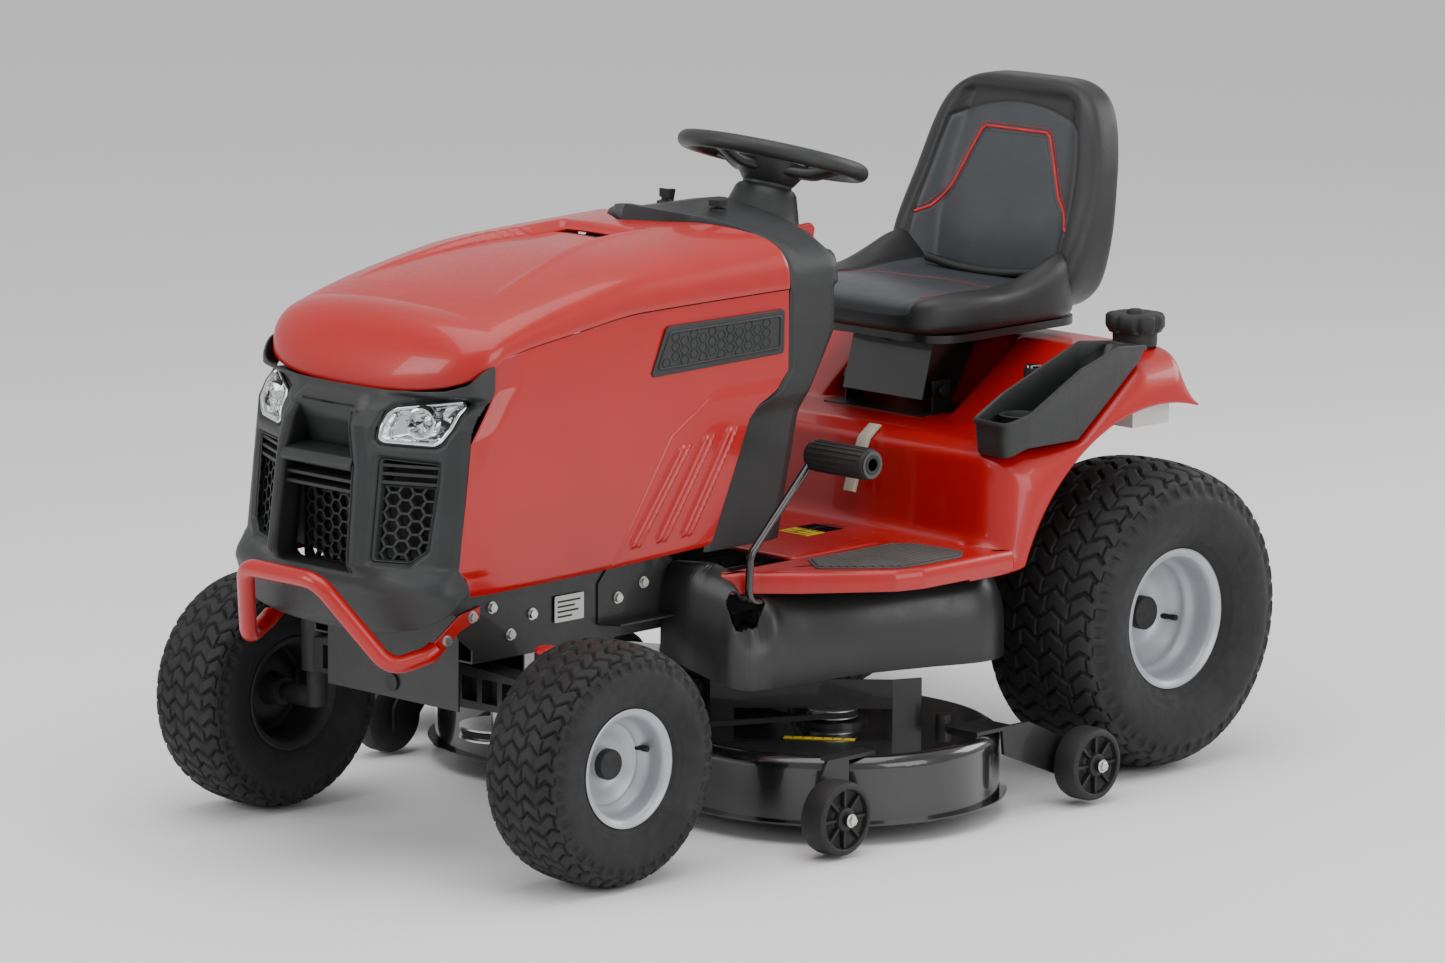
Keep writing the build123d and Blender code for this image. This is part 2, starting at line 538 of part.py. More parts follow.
SIDE = [(-707, 752), (-707, 799), (-486, 836), (-376, 846), (-64, 850), (-66, 721), (-89, 694), (-137, 673), (-157, 653), (-236, 465), (-249, 460),
        (-483, 451), (-752, 446), (-766, 479), (-783, 492), (-757, 704)]
with BuildPart() as hood_sides:
    for side in (1, -1):
        with BuildSketch(Plane.YZ.offset(236.5 if side > 0 else -240)) as s:
            Polygon(*SIDE, align=None)
        extrude(amount=3.5)
        for i in range(3):
            yb = -452 + 66 * i
            with BuildSketch(Plane.YZ.offset(240 if side > 0 else -246)) as s:
                Polygon((yb, 470), (yb + 22, 470), (yb + 98, 600), (yb + 84, 600), align=None)
            extrude(amount=6)
hood_sides.part.label = "hood_sides"
export_step(hood_sides.part, "parts/hood_sides.step")


def nose(ys, inset=0.0, back=0.0):
    return [(240 - inset, ys + back), (237 - inset, ys - 25), (222 - inset * 0.8, ys - 50 + inset * 0.6), (190 - inset * 0.5, ys - 68 + inset * 0.9),
            (120 - inset * 0.2, ys - 84 + inset), (0, ys - 92 + inset)]


GR = [(392, -740), (446, -757), (492, -786), (704, -760), (748, -722)]
with BuildPart() as grille:              # dark nose shell with its bezels
    for (za, ya), (zb, yb) in zip(GR[:-1], GR[1:]):
        with BuildSketch(Plane.XY.offset(za)) as sa:
            Polygon(*sided(list(reversed(nose(ya)))), align=None)
        with BuildSketch(Plane.XY.offset(zb)) as sb:
            Polygon(*sided(list(reversed(nose(yb)))), align=None)
        loft(ruled=True)
    for (za, ya), (zb, yb) in zip(GR[:-1], GR[1:]):
        with BuildSketch(Plane.XY.offset(za if za != 392 else 391)) as sa:
            Polygon(*sided(list(reversed(nose(ya, inset=5, back=40)))), align=None)
        with BuildSketch(Plane.XY.offset(zb if zb != 748 else 749)) as sb:
            Polygon(*sided(list(reversed(nose(yb, inset=5, back=40)))), align=None)
        loft(ruled=True, mode=Mode.SUBTRACT)
    with Locations((0, -850, 603)):
        Box(150, 160, 254, mode=Mode.SUBTRACT)
    for side in (1, -1):
        with Locations((side * 155, -830, 560)):
            Box(86, 160, 150, mode=Mode.SUBTRACT)
        with Locations((side * 152, -830, 696)):
            Box(116, 160, 68, mode=Mode.SUBTRACT)
    for side in (1, -1):                                               # hinge ears round the frame pins
        with BuildSketch(Plane.YZ.offset(188 if side > 0 else -192)) as s:
            Polygon((-795, 430), (-768, 430), (-768, 450), (-785, 478), (-843, 478), (-835, 466), (-822, 454), align=None)
            with Locations((HINGE[0], HINGE[1])):
                Circle(6 + BORE_GAP, mode=Mode.SUBTRACT)
        extrude(amount=4)
grille.part.label = "grille"
export_step(grille.part, "parts/grille.step")

with BuildPart() as grille_mesh:         # three hexagon mesh panels set back behind the openings
    with BuildSketch(Plane.XZ.offset(800)) as s:
        with Locations((0, 560)):
            Rectangle(164, 166)
        with HexLocations(13.5, 5, 5):
            pass
        for i in range(-2, 3):
            for j in range(-2, 3):
                with Locations((i * 29, 560 + j * 31 + (15.5 if i % 2 else 0) - 5)):
                    RegularPolygon(14.5, 6, mode=Mode.SUBTRACT)
    extrude(amount=4)
    for side in (1, -1):
        with BuildSketch(Plane(origin=(side * 156, -779, 560), x_dir=(cos(radians(14)) * side, sin(radians(14)), 0), z_dir=(-sin(radians(14)), cos(radians(14)) * side, 0) if side > 0 else (sin(radians(14)), -cos(radians(14)) * -side, 0))) as s:
            Rectangle(96, 160)
            for i in range(-1, 2):
                for j in range(-2, 3):
                    with Locations((i * 28, j * 30)):
                        RegularPolygon(13, 6, mode=Mode.SUBTRACT)
        extrude(amount=2, both=True)
grille_mesh.part.label = "grille_mesh"
export_step(grille_mesh.part, "parts/grille_mesh.step")

with BuildPart() as headlights:
    for side in (1, -1):
        with BuildSketch(Plane.XY.offset(663)) as s:
            Polygon((side * 95, -850), (side * 150, -843), (side * 195, -832), (side * 209, -822), (side * 209, -790), (side * 95, -816), align=None)
        extrude(amount=66)
headlights.part.label = "headlights"
export_step(headlights.part, "parts/headlights.step")

with BuildPart() as hood_badges:         # plain dark inset panels, no lettering
    for side in (1, -1):
        with BuildSketch(Plane.YZ.offset(240 if side > 0 else -243)) as s:
            Polygon((-345, 815), (-377, 747), (-79, 752), (-80, 821), align=None)
        extrude(amount=3)
hood_badges.part.label = "hood_badges"
export_step(hood_badges.part, "parts/hood_badges.step")

# ================================================================ dash
def dash_half(grow):
    return [(240 - grow, 446), (240 - grow, 853 - grow), (233 - grow, 884 - grow), (205 - grow, 916 - grow), (150, 936 - grow), (80, 958 - grow), (0, 972 - grow)]


with BuildPart() as dash_console:        # cowl behind the hood with leg panels, column tower and its through hole
    with BuildSketch(Plane.XZ.offset(240)) as s:
        Polygon(*[(x, z) for x, z in dash_half(0)] + [(-x, z) for x, z in reversed(dash_half(0)[:-1])], align=None)
    extrude(amount=-340)
    with BuildSketch(Plane.XZ.offset(244)) as s:
        Polygon(*[(x, z if z > 450 else 430) for x, z in dash_half(5)] + [(-x, z if z > 450 else 430) for x, z in reversed(dash_half(5)[:-1])], align=None)
    extrude(amount=-336, mode=Mode.SUBTRACT)
    # trim the front by the hood's rear edge, in side view and in plan
    with BuildSketch(Plane.YZ.offset(-300)) as s:
        Polygon((-300, 400), (-300, 858), (-58, 858), (-60, 719), (-83, 690), (-131, 669), (-151, 649), (-230, 463), (-230, 400), align=None)
    extrude(amount=600, mode=Mode.SUBTRACT)
    with BuildSketch(Plane.XY.offset(855)) as s:
        Polygon(*sided([(0, -300), (280, -300), (280, -58), (205, -62), (160, -84), (100, -122), (60, -166), (0, -202)][::-1]), align=None)
    extrude(amount=200, mode=Mode.SUBTRACT)
    # trim the rear: raked panel
    with BuildSketch(Plane.YZ.offset(-300)) as s:
        Polygon((50, 845), (50, 773), (0, 690), (-20, 640), (-60, 440), (200, 400), (200, 1000), (100, 1000), (96, 900), align=None)
    extrude(amount=600, mode=Mode.SUBTRACT)
    with BuildSketch(Plane.YZ.offset(-150)) as s:                       # rear closing panel
        Polygon((91, 950), (91, 905), (45, 843), (45, 775), (-5, 692), (-25, 640), (-44, 545), (-39, 545), (-20, 638), (0, 690), (50, 773), (50, 842), (96, 903), (96, 950), align=None)
    extrude(amount=300)
    with BuildSketch(Plane(origin=column_point(800), x_dir=(1, 0, 0), z_dir=(0, st, ct))) as s:
        Circle(60)
    extrude(amount=176, taper=8)
    with BuildSketch(Plane(origin=column_point(420), x_dir=(1, 0, 0), z_dir=(0, st, ct))) as s:
        Circle(14)
    extrude(amount=640, mode=Mode.SUBTRACT)
    # slots for the red lever, throttle and the bores of key and knob
    with Locations((110, 60, 900)):
        Box(14, 100, 240, mode=Mode.SUBTRACT)
    with Locations((-110, 20, 935)):
        Box(14, 90, 90, mode=Mode.SUBTRACT)
    with Locations((-60, -40, 950), (60, -40, 950)):
        Cylinder(6 + BORE_GAP, 60, mode=Mode.SUBTRACT)
    with Locations((99, 57, 810), (121, 57, 810)):                     # lugs and pin of the red lever
        Box(6, 26, 20)
    with Locations(Location((110, 60, 810), (0, 90, 0))):
        Cylinder(4, 28)
    with Locations((-99, 20, 919), (-121, 20, 919)):                   # lugs and pin of the throttle
        Box(6, 16, 54)
    with Locations(Location((-110, 20, 900), (0, 90, 0))):
        Cylinder(4, 28)
dash_console.part.label = "dash_console"
export_step(dash_console.part, "parts/dash_console.step")

with BuildPart() as cruise_lever:        # ribbed red paddle on an arm through the dash slot
    with BuildSketch(Plane.YZ.offset(105)) as s:
        Polygon((53, 804), (56, 801), (64, 801), (68, 806), (96, 862), (128, 902), (128, 926), (88, 926), (80, 872), align=None)
    extrude(amount=10)
    with Locations(Location((110, 60, 810), (0, 90, 0))):
        Cylinder(4 + BORE_GAP, 20, mode=Mode.SUBTRACT)
cruise_lever.part.label = "cruise_lever"
export_step(cruise_lever.part, "parts/cruise_lever.step")

with BuildPart() as throttle_lever:
    with BuildSketch(Plane.YZ.offset(-115)) as s:
        Polygon((11, 900), (14, 892), (26, 892), (29, 900), (26, 948), (31, 968), (9, 968), (14, 948), align=None)
    extrude(amount=10)
    with Locations(Location((-110, 20, 900), (0, 90, 0))):
        Cylinder(4 + BORE_GAP, 20, mode=Mode.SUBTRACT)
throttle_lever.part.label = "throttle_lever"
export_step(throttle_lever.part, "parts/throttle_lever.step")

with BuildPart() as ignition_key:
    with Locations((-60, -40, 925)):
        Cylinder(6, 41, align=(Align.CENTER, Align.CENTER, Align.MIN))
    with Locations((-60, -40, 966)):
        Box(22, 4, 14, align=(Align.CENTER, Align.CENTER, Align.MIN))
ignition_key.part.label = "ignition_key"
export_step(ignition_key.part, "parts/ignition_key.step")

with BuildPart() as pto_knob:            # pull knob for the blades
    with Locations((60, -40, 920)):
        Cylinder(6, 46, align=(Align.CENTER, Align.CENTER, Align.MIN))
    with Locations((60, -40, 965)):
        Cylinder(15, 10, align=(Align.CENTER, Align.CENTER, Align.MIN))
pto_knob.part.label = "pto_knob"
export_step(pto_knob.part, "parts/pto_knob.step")

# ================================================================ fender, footrest, seat
FLOOR_HALF = [(0, -50), (244, -50), (244, -246), (290, -172), (336, -130), (394, -53), (430, -8), (443, 34), (443, 153), (437, 225), (420, 262), (0, 262)]
FLOOR_IN = [(0, -46), (248, -46), (248, -233), (287, -168), (333, -126), (391, -50), (426, -6), (439, 36), (439, 152), (433, 223), (418, 266), (0, 266)]
with BuildPart() as fender_deck:         # footrest, pedestal and fenders in one moulding, 4 mm wall
    with BuildSketch(Plane.XY.offset(380)) as s:
        Polygon(*sided(FLOOR_HALF), align=None)
    extrude(amount=34)
    with BuildSketch(Plane.XY.offset(379)) as s:
        Polygon(*sided(FLOOR_IN), align=None)
    extrude(amount=31, mode=Mode.SUBTRACT)
    with Locations((0, 100, 395)):
        Box(488, 420, 30, mode=Mode.SUBTRACT)
    RISE = [(232, 410), (262, 555), (300, 573), (430, 573), (520, 640), (600, 690), (700, 692), (716, 600), (716, 410)]
    RISE_IN = [(236, 400), (266, 551), (302, 569), (432, 569), (522, 636), (602, 686), (697, 688), (712, 640), (790, 640), (790, 400)]
    FLAT = [(232, 410), (262, 555), (300, 573), (548, 573), (604, 690), (700, 692), (716, 600), (716, 410)]
    FLAT_IN = [(236, 400), (266, 551), (302, 569), (550, 569), (607, 686), (697, 688), (712, 640), (790, 640), (790, 400)]
    for x0, w, pts in ((130, 310, RISE), (-440, 310, RISE), (-134, 268, FLAT)):
        with BuildSketch(Plane.YZ.offset(x0)) as s:
            Polygon(*pts, align=None)
        extrude(amount=w)
    for x0, w, pts in ((134, 302, RISE_IN), (-436, 302, RISE_IN), (-134, 268, FLAT_IN)):
        with BuildSketch(Plane.YZ.offset(x0)) as s:
            Polygon(*pts, align=None)
        extrude(amount=w, mode=Mode.SUBTRACT)
    for x0 in (250, -450):                                              # wheel arches
        with Locations(Location((x0, REAR_Y, REAR_R), (0, 90, 0))):
            Cylinder(357, 200, align=(Align.CENTER, Align.CENTER, Align.MIN), mode=Mode.SUBTRACT)
    with Locations((340, 668, 690)):
        Cylinder(26, 30, mode=Mode.SUBTRACT)
    with Locations((-250, 367.5, 575)):
        Box(14, 115, 30, mode=Mode.SUBTRACT)
    for x in (-256, -380):               # posts and pin of the drive pedals
        with Locations((x, 20, 414)):
            Box(8, 20, 44, align=(Align.CENTER, Align.CENTER, Align.MIN))
    with Locations(Location((-318, 20, 450), (0, 90, 0))):
        Cylinder(5, 124)
fender_deck.part.label = "fender_deck"
export_step(fender_deck.part, "parts/fender_deck.step")

with BuildPart() as foot_mats:
    for side in (1, -1):
        with BuildSketch(Plane.XY.offset(414)) as s:
            Polygon((side * 270, -20), (side * 382, -42), (side * 424, 10), (side * 428, 150), (side * 300, 175), (side * 270, 60), align=None)
            if side < 0:
                with Locations((-318, 20)):
                    Rectangle(140, 30, mode=Mode.SUBTRACT)
        extrude(amount=3.5)
foot_mats.part.label = "foot_mats"
export_step(foot_mats.part, "parts/foot_mats.step")

with BuildPart() as seat_bracket:        # tilting box under the slides
    with BuildSketch(Plane.YZ.offset(-90)) as s:
        Polygon((420, 598), (448, 699), (560, 699), (500, 598), align=None)
    extrude(amount=180)
    with BuildSketch(Plane.YZ.offset(-87)) as s:
        Polygon((424, 590), (451, 696), (600, 696), (600, 590), align=None)
    extrude(amount=174, mode=Mode.SUBTRACT)
    with Locations(Location((0, 455, 612), (0, 90, 0))):
        Cylinder(6 + BORE_GAP, 260, mode=Mode.SUBTRACT)
seat_bracket.part.label = "seat_bracket"
export_step(seat_bracket.part, "parts/seat_bracket.step")

with BuildPart() as seat_pan:            # seat shell plate with its two slide rails
    with BuildSketch(Plane.XY.offset(708)) as s:
        with Locations((0, 535)):
            RectangleRounded(380, 370, 60)
    extrude(amount=13)
    for side in (1, -1):
        with Locations((side * 70, 505, 699.6)):
            Box(24, 240, 8.4, align=(Align.CENTER, Align.CENTER, Align.MIN))
seat_pan.part.label = "seat_pan"
export_step(seat_pan.part, "parts/seat_pan.step")

with BuildPart() as seat_cushion:        # soft part, simple closed solid
    with BuildSketch(Plane.YZ.offset(-SEAT_HALF)) as s:
        Polygon((330, 722), (318, 742), (322, 766), (348, 781), (560, 772), (688, 778), (692, 722), align=None)
    extrude(amount=2 * SEAT_HALF)
seat_cushion.part.label = "seat_cushion"
export_step(seat_cushion.part, "parts/seat_cushion.step")

with BuildPart() as seat_backrest:       # soft part, simple closed solid
    with BuildSketch(Plane.YZ.offset(-SEAT_HALF)) as s:
        Polygon((664, 782), (736, 1066), (760, 1100), (812, 1102), (846, 1068), (766, 745), (706, 738), (698, 782), align=None)
    extrude(amount=2 * SEAT_HALF)
seat_backrest.part.label = "seat_backrest"
export_step(seat_backrest.part, "parts/seat_backrest.step")

with BuildPart() as fuel_tank:
    with Locations((232, 646, 605)):
        Box(330, 92, 74)
    with Locations((340, 668, 641)):
        Cylinder(24, 71, align=(Align.CENTER, Align.CENTER, Align.MIN))
    with Locations((232, 646, 605)):
        Box(322, 84, 66, mode=Mode.SUBTRACT)
    with Locations((340, 668, 630)):
        Cylinder(20, 90, align=(Align.CENTER, Align.CENTER, Align.MIN), mode=Mode.SUBTRACT)
fuel_tank.part.label = "fuel_tank"
export_step(fuel_tank.part, "parts/fuel_tank.step")

with BuildPart() as fuel_cap:            # scalloped screw cap
    with BuildSketch(Plane.XY.offset(722)) as s:
        with Locations((340, 668)):
            Circle(50)
        with Locations((340, 668)):
            with PolarLocations(52, 8):
                Circle(8, mode=Mode.SUBTRACT)
    extrude(amount=24)
    with Locations((340, 668, 694)):
        Cylinder(38, 28, align=(Align.CENTER, Align.CENTER, Align.MIN))
    with Locations((340, 668, 746)):
        Cylinder(12, 6, align=(Align.CENTER, Align.CENTER, Align.MIN))
    with Locations((340, 668, 690)):
        Cylinder(24.5, 24, align=(Align.CENTER, Align.CENTER, Align.MIN), mode=Mode.SUBTRACT)
fuel_cap.part.label = "fuel_cap"
export_step(fuel_cap.part, "parts/fuel_cap.step")

with BuildPart() as storage_tray:
    with BuildSketch(Plane.YZ.offset(346)) as s:
        Polygon((262, 600), (300, 574), (429, 574), (519, 641.5), (598, 691.5), (612, 692.5), (612, 704), (560, 716), (440, 700), (340, 662), (262, 650), align=None)
    extrude(amount=86)
    with BuildSketch(Plane.YZ.offset(353)) as s:
        Polygon((270, 606), (302, 582), (425, 582), (514, 648), (560, 678), (560, 760), (270, 760), align=None)
    extrude(amount=72, mode=Mode.SUBTRACT)
storage_tray.part.label = "storage_tray"
export_step(storage_tray.part, "parts/storage_tray.step")

with BuildPart() as battery:
    with Locations((-40, 622, 404)):
        Box(180, 110, 150, align=(Align.CENTER, Align.CENTER, Align.MIN))
    with Locations((-110, 600, 554), (30, 600, 554)):
        Cylinder(7, 14, align=(Align.CENTER, Align.CENTER, Align.MIN))
battery.part.label = "battery"
export_step(battery.part, "parts/battery.step")

GUARD_OUT = [(188, -108), (302, -15), (363, 60), (422, 215), (398, 285), (330, 318)]
GUARD_IN = [(188, -102.5), (299.5, -11.5), (359.5, 62.5), (417.5, 214.5), (395, 281.5), (330, 313.5)]
with BuildPart() as lower_guards:        # curved plastic skirts under the footrest
    for side in (1, -1):
        with BuildSketch(Plane.XY.offset(232)) as s:
            Polygon(*[(side * x, y) for x, y in GUARD_OUT + GUARD_IN[::-1]], align=None)
        extrude(amount=144)
    with Locations(Location((240, BRAKE_PIVOT[0], BRAKE_PIVOT[1]), (0, 90, 0))):
        Cylinder(8, 60, mode=Mode.SUBTRACT)
lower_guards.part.label = "lower_guards"
export_step(lower_guards.part, "parts/lower_guards.step")

# ================================================================ pedals and lift lever
with BuildPart() as brake_pedal:
    with BuildLine() as bl:
        FilletPolyline((295, -55, 590), (295, -202, 447), (295, -206, 372), (295, BRAKE_PIVOT[0], BRAKE_PIVOT[1]), radius=22)
    with BuildSketch(Plane(origin=bl.line @ 0, z_dir=bl.line % 0)) as s:
        Circle(6.5)
    sweep()
    with Locations(Location((355, -55, 590), (0, 90, 0))):
        Cylinder(22, 130)
    with Locations(Location((295, BRAKE_PIVOT[0], BRAKE_PIVOT[1]), (0, 90, 0))):
        Cylinder(13, 18)
    with Locations(Location((295, BRAKE_PIVOT[0], BRAKE_PIVOT[1]), (0, 90, 0))):
        Cylinder(6 + BORE_GAP, 30, mode=Mode.SUBTRACT)
brake_pedal.part.label = "brake_pedal"
export_step(brake_pedal.part, "parts/brake_pedal.step")

with BuildPart() as drive_pedal:         # rocking forward / reverse treadle
    with Locations(Location((-318, 20, 450), (0, 90, 0))):
        Cylinder(10, 114)
    with Locations((-318, 15, 458)):
        Box(24, 170, 6)
    with Locations((-318, -55, 463)):
        Box(84, 62, 7)
    with Locations((-318, 84, 463)):
        Box(84, 40, 7)
    with Locations(Location((-318, 20, 450), (0, 90, 0))):
        Cylinder(5 + BORE_GAP, 130, mode=Mode.SUBTRACT)
drive_pedal.part.label = "drive_pedal"
export_step(drive_pedal.part, "parts/drive_pedal.step")

with BuildPart() as lift_lever:
    with BuildSketch(Plane.YZ.offset(-254)) as s:
        Polygon((322, 430), (338, 430), (350, 760), (338, 760), align=None)
    extrude(amount=8)
    with Locations(Location((-250, LIFT_PIVOT[0], LIFT_PIVOT[1]), (0, 90, 0))):
        Cylinder(14, 8)
    with Locations((-250, 344, 758)):
        Cylinder(13, 60, align=(Align.CENTER, Align.CENTER, Align.MIN))
    with Locations(Location((-250, LIFT_PIVOT[0], LIFT_PIVOT[1]), (0, 90, 0))):
        Cylinder(6 + BORE_GAP, 30, mode=Mode.SUBTRACT)
lift_lever.part.label = "lift_lever"
export_step(lift_lever.part, "parts/lift_lever.step")

# ================================================================ mowing deck
with BuildPart() as deck_shell:
    with BuildSketch(Plane.XY.offset(DECK_BASE)) as s:
        with Locations((0, DECK_Y)):
            SlotCenterToCenter(2 * DECK_X, 2 * DECK_R)
    extrude(amount=DECK_TOP - DECK_BASE)
    fillet(deck_shell.edges().group_by(Axis.Z)[-1], radius=20)
    with BuildSketch(Plane.XY.offset(DECK_BASE)) as s:
        with Locations((0, DECK_Y)):
            SlotCenterToCenter(2 * DECK_X, 2 * DECK_R + 24)
    extrude(amount=3)
    with BuildSketch(Plane.XY.offset(DECK_BASE)) as s:
        with Locations((0, DECK_Y)):
            SlotCenterToCenter(2 * DECK_X, 2 * DECK_R - 6)
    extrude(amount=DECK_TOP - DECK_BASE - 22, mode=Mode.SUBTRACT)
    with BuildSketch(Plane.XY.offset(DECK_TOP - 23)) as s:
        with Locations((0, DECK_Y)):
            SlotCenterToCenter(2 * DECK_X, 2 * DECK_R - 46)
    extrude(amount=20, mode=Mode.SUBTRACT)
    with Locations((DECK_X, DECK_Y, DECK_TOP), (-DECK_X, DECK_Y, DECK_TOP)):
        Cylinder(36, 60, mode=Mode.SUBTRACT)
    with Locations((-560, -10, 82)):
        Box(150, 230, 90, mode=Mode.SUBTRACT)
deck_shell.part.label = "deck_shell"
export_step(deck_shell.part, "parts/deck_shell.step")

GF, GR_ = (515.0, -232.0, 64.0), (541.0, 335.0, 67.0)      # gauge wheel centres
with BuildPart() as deck_brackets:       # spindle housings, gauge wheel arms, hinge straps, wash port, side plates
    for side in (1, -1):
        with Locations((side * DECK_X, DECK_Y, 96)):
            Cylinder(36, 44, align=(Align.CENTER, Align.CENTER, Align.MIN))
        with Locations((side * DECK_X, DECK_Y, 140)):
            Cylinder(58, 7, align=(Align.CENTER, Align.CENTER, Align.MIN))
        with Locations((side * 465, -152.5, 140)):
            Box(30, 95, 6, align=(Align.CENTER, Align.CENTER, Align.MIN))
        with BuildSketch(Plane.YZ.offset(side * 477 - 3)) as s:
            Polygon((-166, 146), (-166, 100), (-215, 45), (-252, 45), (-252, 84), (-215, 146), align=None)
        extrude(amount=6)
        with Locations(Location((side * 474, GF[1], GF[2]), (0, 90 * side, 0))):
            Cylinder(6, 74, align=(Align.CENTER, Align.CENTER, Align.MIN))
        with Locations(Location((side * 541.5, GF[1], GF[2]), (0, 90 * side, 0))):
            Cylinder(10, 7, align=(Align.CENTER, Align.CENTER, Align.MIN))
        with Locations((side * 473, 149, 140)):
            Box(66, 86, 6, align=(Align.CENTER, Align.CENTER, Align.MIN))
        with BuildSketch(Plane.YZ.offset(side * 503 - 3)) as s:
            Polygon((166, 146), (172, 100), (300, 48), (352, 48), (352, 92), (230, 146), align=None)
        extrude(amount=6)
        with Locations(Location((side * 500, GR_[1], GR_[2]), (0, 90 * side, 0))):
            Cylinder(6, 74, align=(Align.CENTER, Align.CENTER, Align.MIN))
        with Locations(Location((side * 567.5, GR_[1], GR_[2]), (0, 90 * side, 0))):
            Cylinder(10, 7, align=(Align.CENTER, Align.CENTER, Align.MIN))
        with BuildSketch(Plane.XY.offset(166)) as s:                   # side plates over the belt
            Polygon(*[(side * x, y) for x, y in ((140, -131), (353, 72), (374, 118), (370, 119.5), (350, 74.5), (137.5, -128.5))], align=None)
        extrude(amount=48)
        with BuildSketch(Plane.XY.offset(140)) as s:                   # their feet
            Polygon(*[(side * x, y) for x, y in ((353, 72), (374, 118), (370, 119.5), (350, 74.5))], align=None)
            Polygon(*[(side * x, y) for x, y in ((140, -131), (168, -104.3), (165.5, -101.8), (137.5, -128.5))], align=None)
        extrude(amount=26)
    with Locations((DECK_X, DECK_Y, 130), (-DECK_X, DECK_Y, 130)):
        Cylinder(12 + BORE_GAP, 120, mode=Mode.SUBTRACT)
    for y0 in (-142.5, 122.5):                                        # deflector hinge straps
        with Locations((-500, y0, 140)):
            Box(120, 15, 6, align=(Align.CENTER, Align.CENTER, Align.MIN))
        with Locations((-552, y0, 140)):
            Box(18, 15, 18, align=(Align.CENTER, Align.CENTER, Align.MIN))
    with Locations(Location((-552, -10, 149), (90, 0, 0))):
        Cylinder(5 + BORE_GAP, 320, mode=Mode.SUBTRACT)
    with Locations((420, 120, 140)):                                   # wash port
        Cylinder(13, 22, align=(Align.CENTER, Align.CENTER, Align.MIN))
deck_brackets.part.label = "deck_brackets"
export_step(deck_brackets.part, "parts/deck_brackets.step")

with BuildPart() as blade_left:          # blade, spindle shaft and pulley
    with BuildSketch(Plane.XY.offset(58)) as s:
        with Locations(Location((DECK_X, DECK_Y, 0), (0, 0, 25))):
            Rectangle(2 * BLADE_HALF, 58)
        with Locations((DECK_X, DECK_Y)):
            Circle(40)
    extrude(amount=5)
    with Locations((DECK_X, DECK_Y, 48)):
        Cylinder(12, 122, align=(Align.CENTER, Align.CENTER, Align.MIN))
    with Locations((DECK_X, DECK_Y, LOW_Z)):
        Cylinder(34, 14)
    with Locations((DECK_X, DECK_Y, LOW_Z + 6), (DECK_X, DECK_Y, LOW_Z - 6)):
        Cylinder(42, 2)
blade_left.part.label = "blade_left"
export_step(blade_left.part, "parts/blade_left.step")

with BuildPart() as blade_right:
    mirror(blade_left.part, about=Plane.YZ)
blade_right.part.label = "blade_right"
export_step(blade_right.part, "parts/blade_right.step")

BLADES = [(0, CRANK_Y, 50.0), (DECK_X, DECK_Y, 34.0), (-DECK_X, DECK_Y, 34.0)]
with BuildPart() as deck_belt:
    with BuildSketch(Plane.XY.offset(LOW_Z - 4)) as s:
        Polygon(*belt_loop(BLADES, 8.5), align=None)
        Polygon(*belt_loop(BLADES, 1.2), align=None, mode=Mode.SUBTRACT)
    extrude(amount=8)
deck_belt.part.label = "deck_belt"
export_step(deck_belt.part, "parts/deck_belt.step")

with BuildPart() as chute_deflector:
    with Locations(Location((-552, -10, 149), (90, 0, 0))):
        Cylinder(5, 290)
    with Locations(Location((-552, -10, 149), (90, 0, 0))):
        Cylinder(8, 248)
    with BuildSketch(Plane.XZ.offset(-114)) as s:
        Polygon((-556, 154), (-728, 84), (-728, 80), (-558, 148), align=None)
    extrude(amount=248)
    for y0 in (134, -111):
        with BuildSketch(Plane.XZ.offset(y0)) as s:
            Polygon((-564, 149), (-728, 83), (-728, 52), (-600, 44), (-564, 90), align=None)
        extrude(amount=-3)
chute_deflector.part.label = "chute_deflector"
export_step(chute_deflector.part, "parts/chute_deflector.step")


def gauge_profile(cx, cy, cz, side):
    pts = [(-25, 44), (-22, 54), (-12, 60), (12, 60), (22, 54), (25, 44), (18, 40), (4, 38), (4, 16), (25, 16), (25, 6 + BORE_GAP), (-25, 6 + BORE_GAP), (-25, 16), (-4, 16), (-4, 38), (-18, 40)]
    return pts


with BuildPart() as gauge_wheel_front_left:
    with BuildSketch(wheel_plane(*GF)) as s:
        Polygon(*gauge_profile(*GF, 1), align=None)
    revolve(axis=Axis(GF, (1, 0, 0)))
gauge_wheel_front_left.part.label = "gauge_wheel_front_left"
export_step(gauge_wheel_front_left.part, "parts/gauge_wheel_front_left.step")

with BuildPart() as gauge_wheel_front_right:
    mirror(gauge_wheel_front_left.part, about=Plane.YZ)
gauge_wheel_front_right.part.label = "gauge_wheel_front_right"
export_step(gauge_wheel_front_right.part, "parts/gauge_wheel_front_right.step")

with BuildPart() as gauge_wheel_rear_left:
    with BuildSketch(wheel_plane(*GR_)) as s:
        Polygon(*gauge_profile(*GR_, 1), align=None)
    revolve(axis=Axis(GR_, (1, 0, 0)))
gauge_wheel_rear_left.part.label = "gauge_wheel_rear_left"
export_step(gauge_wheel_rear_left.part, "parts/gauge_wheel_rear_left.step")

with BuildPart() as gauge_wheel_rear_right:
    mirror(gauge_wheel_rear_left.part, about=Plane.YZ)
gauge_wheel_rear_right.part.label = "gauge_wheel_rear_right"
export_step(gauge_wheel_rear_right.part, "parts/gauge_wheel_rear_right.step")

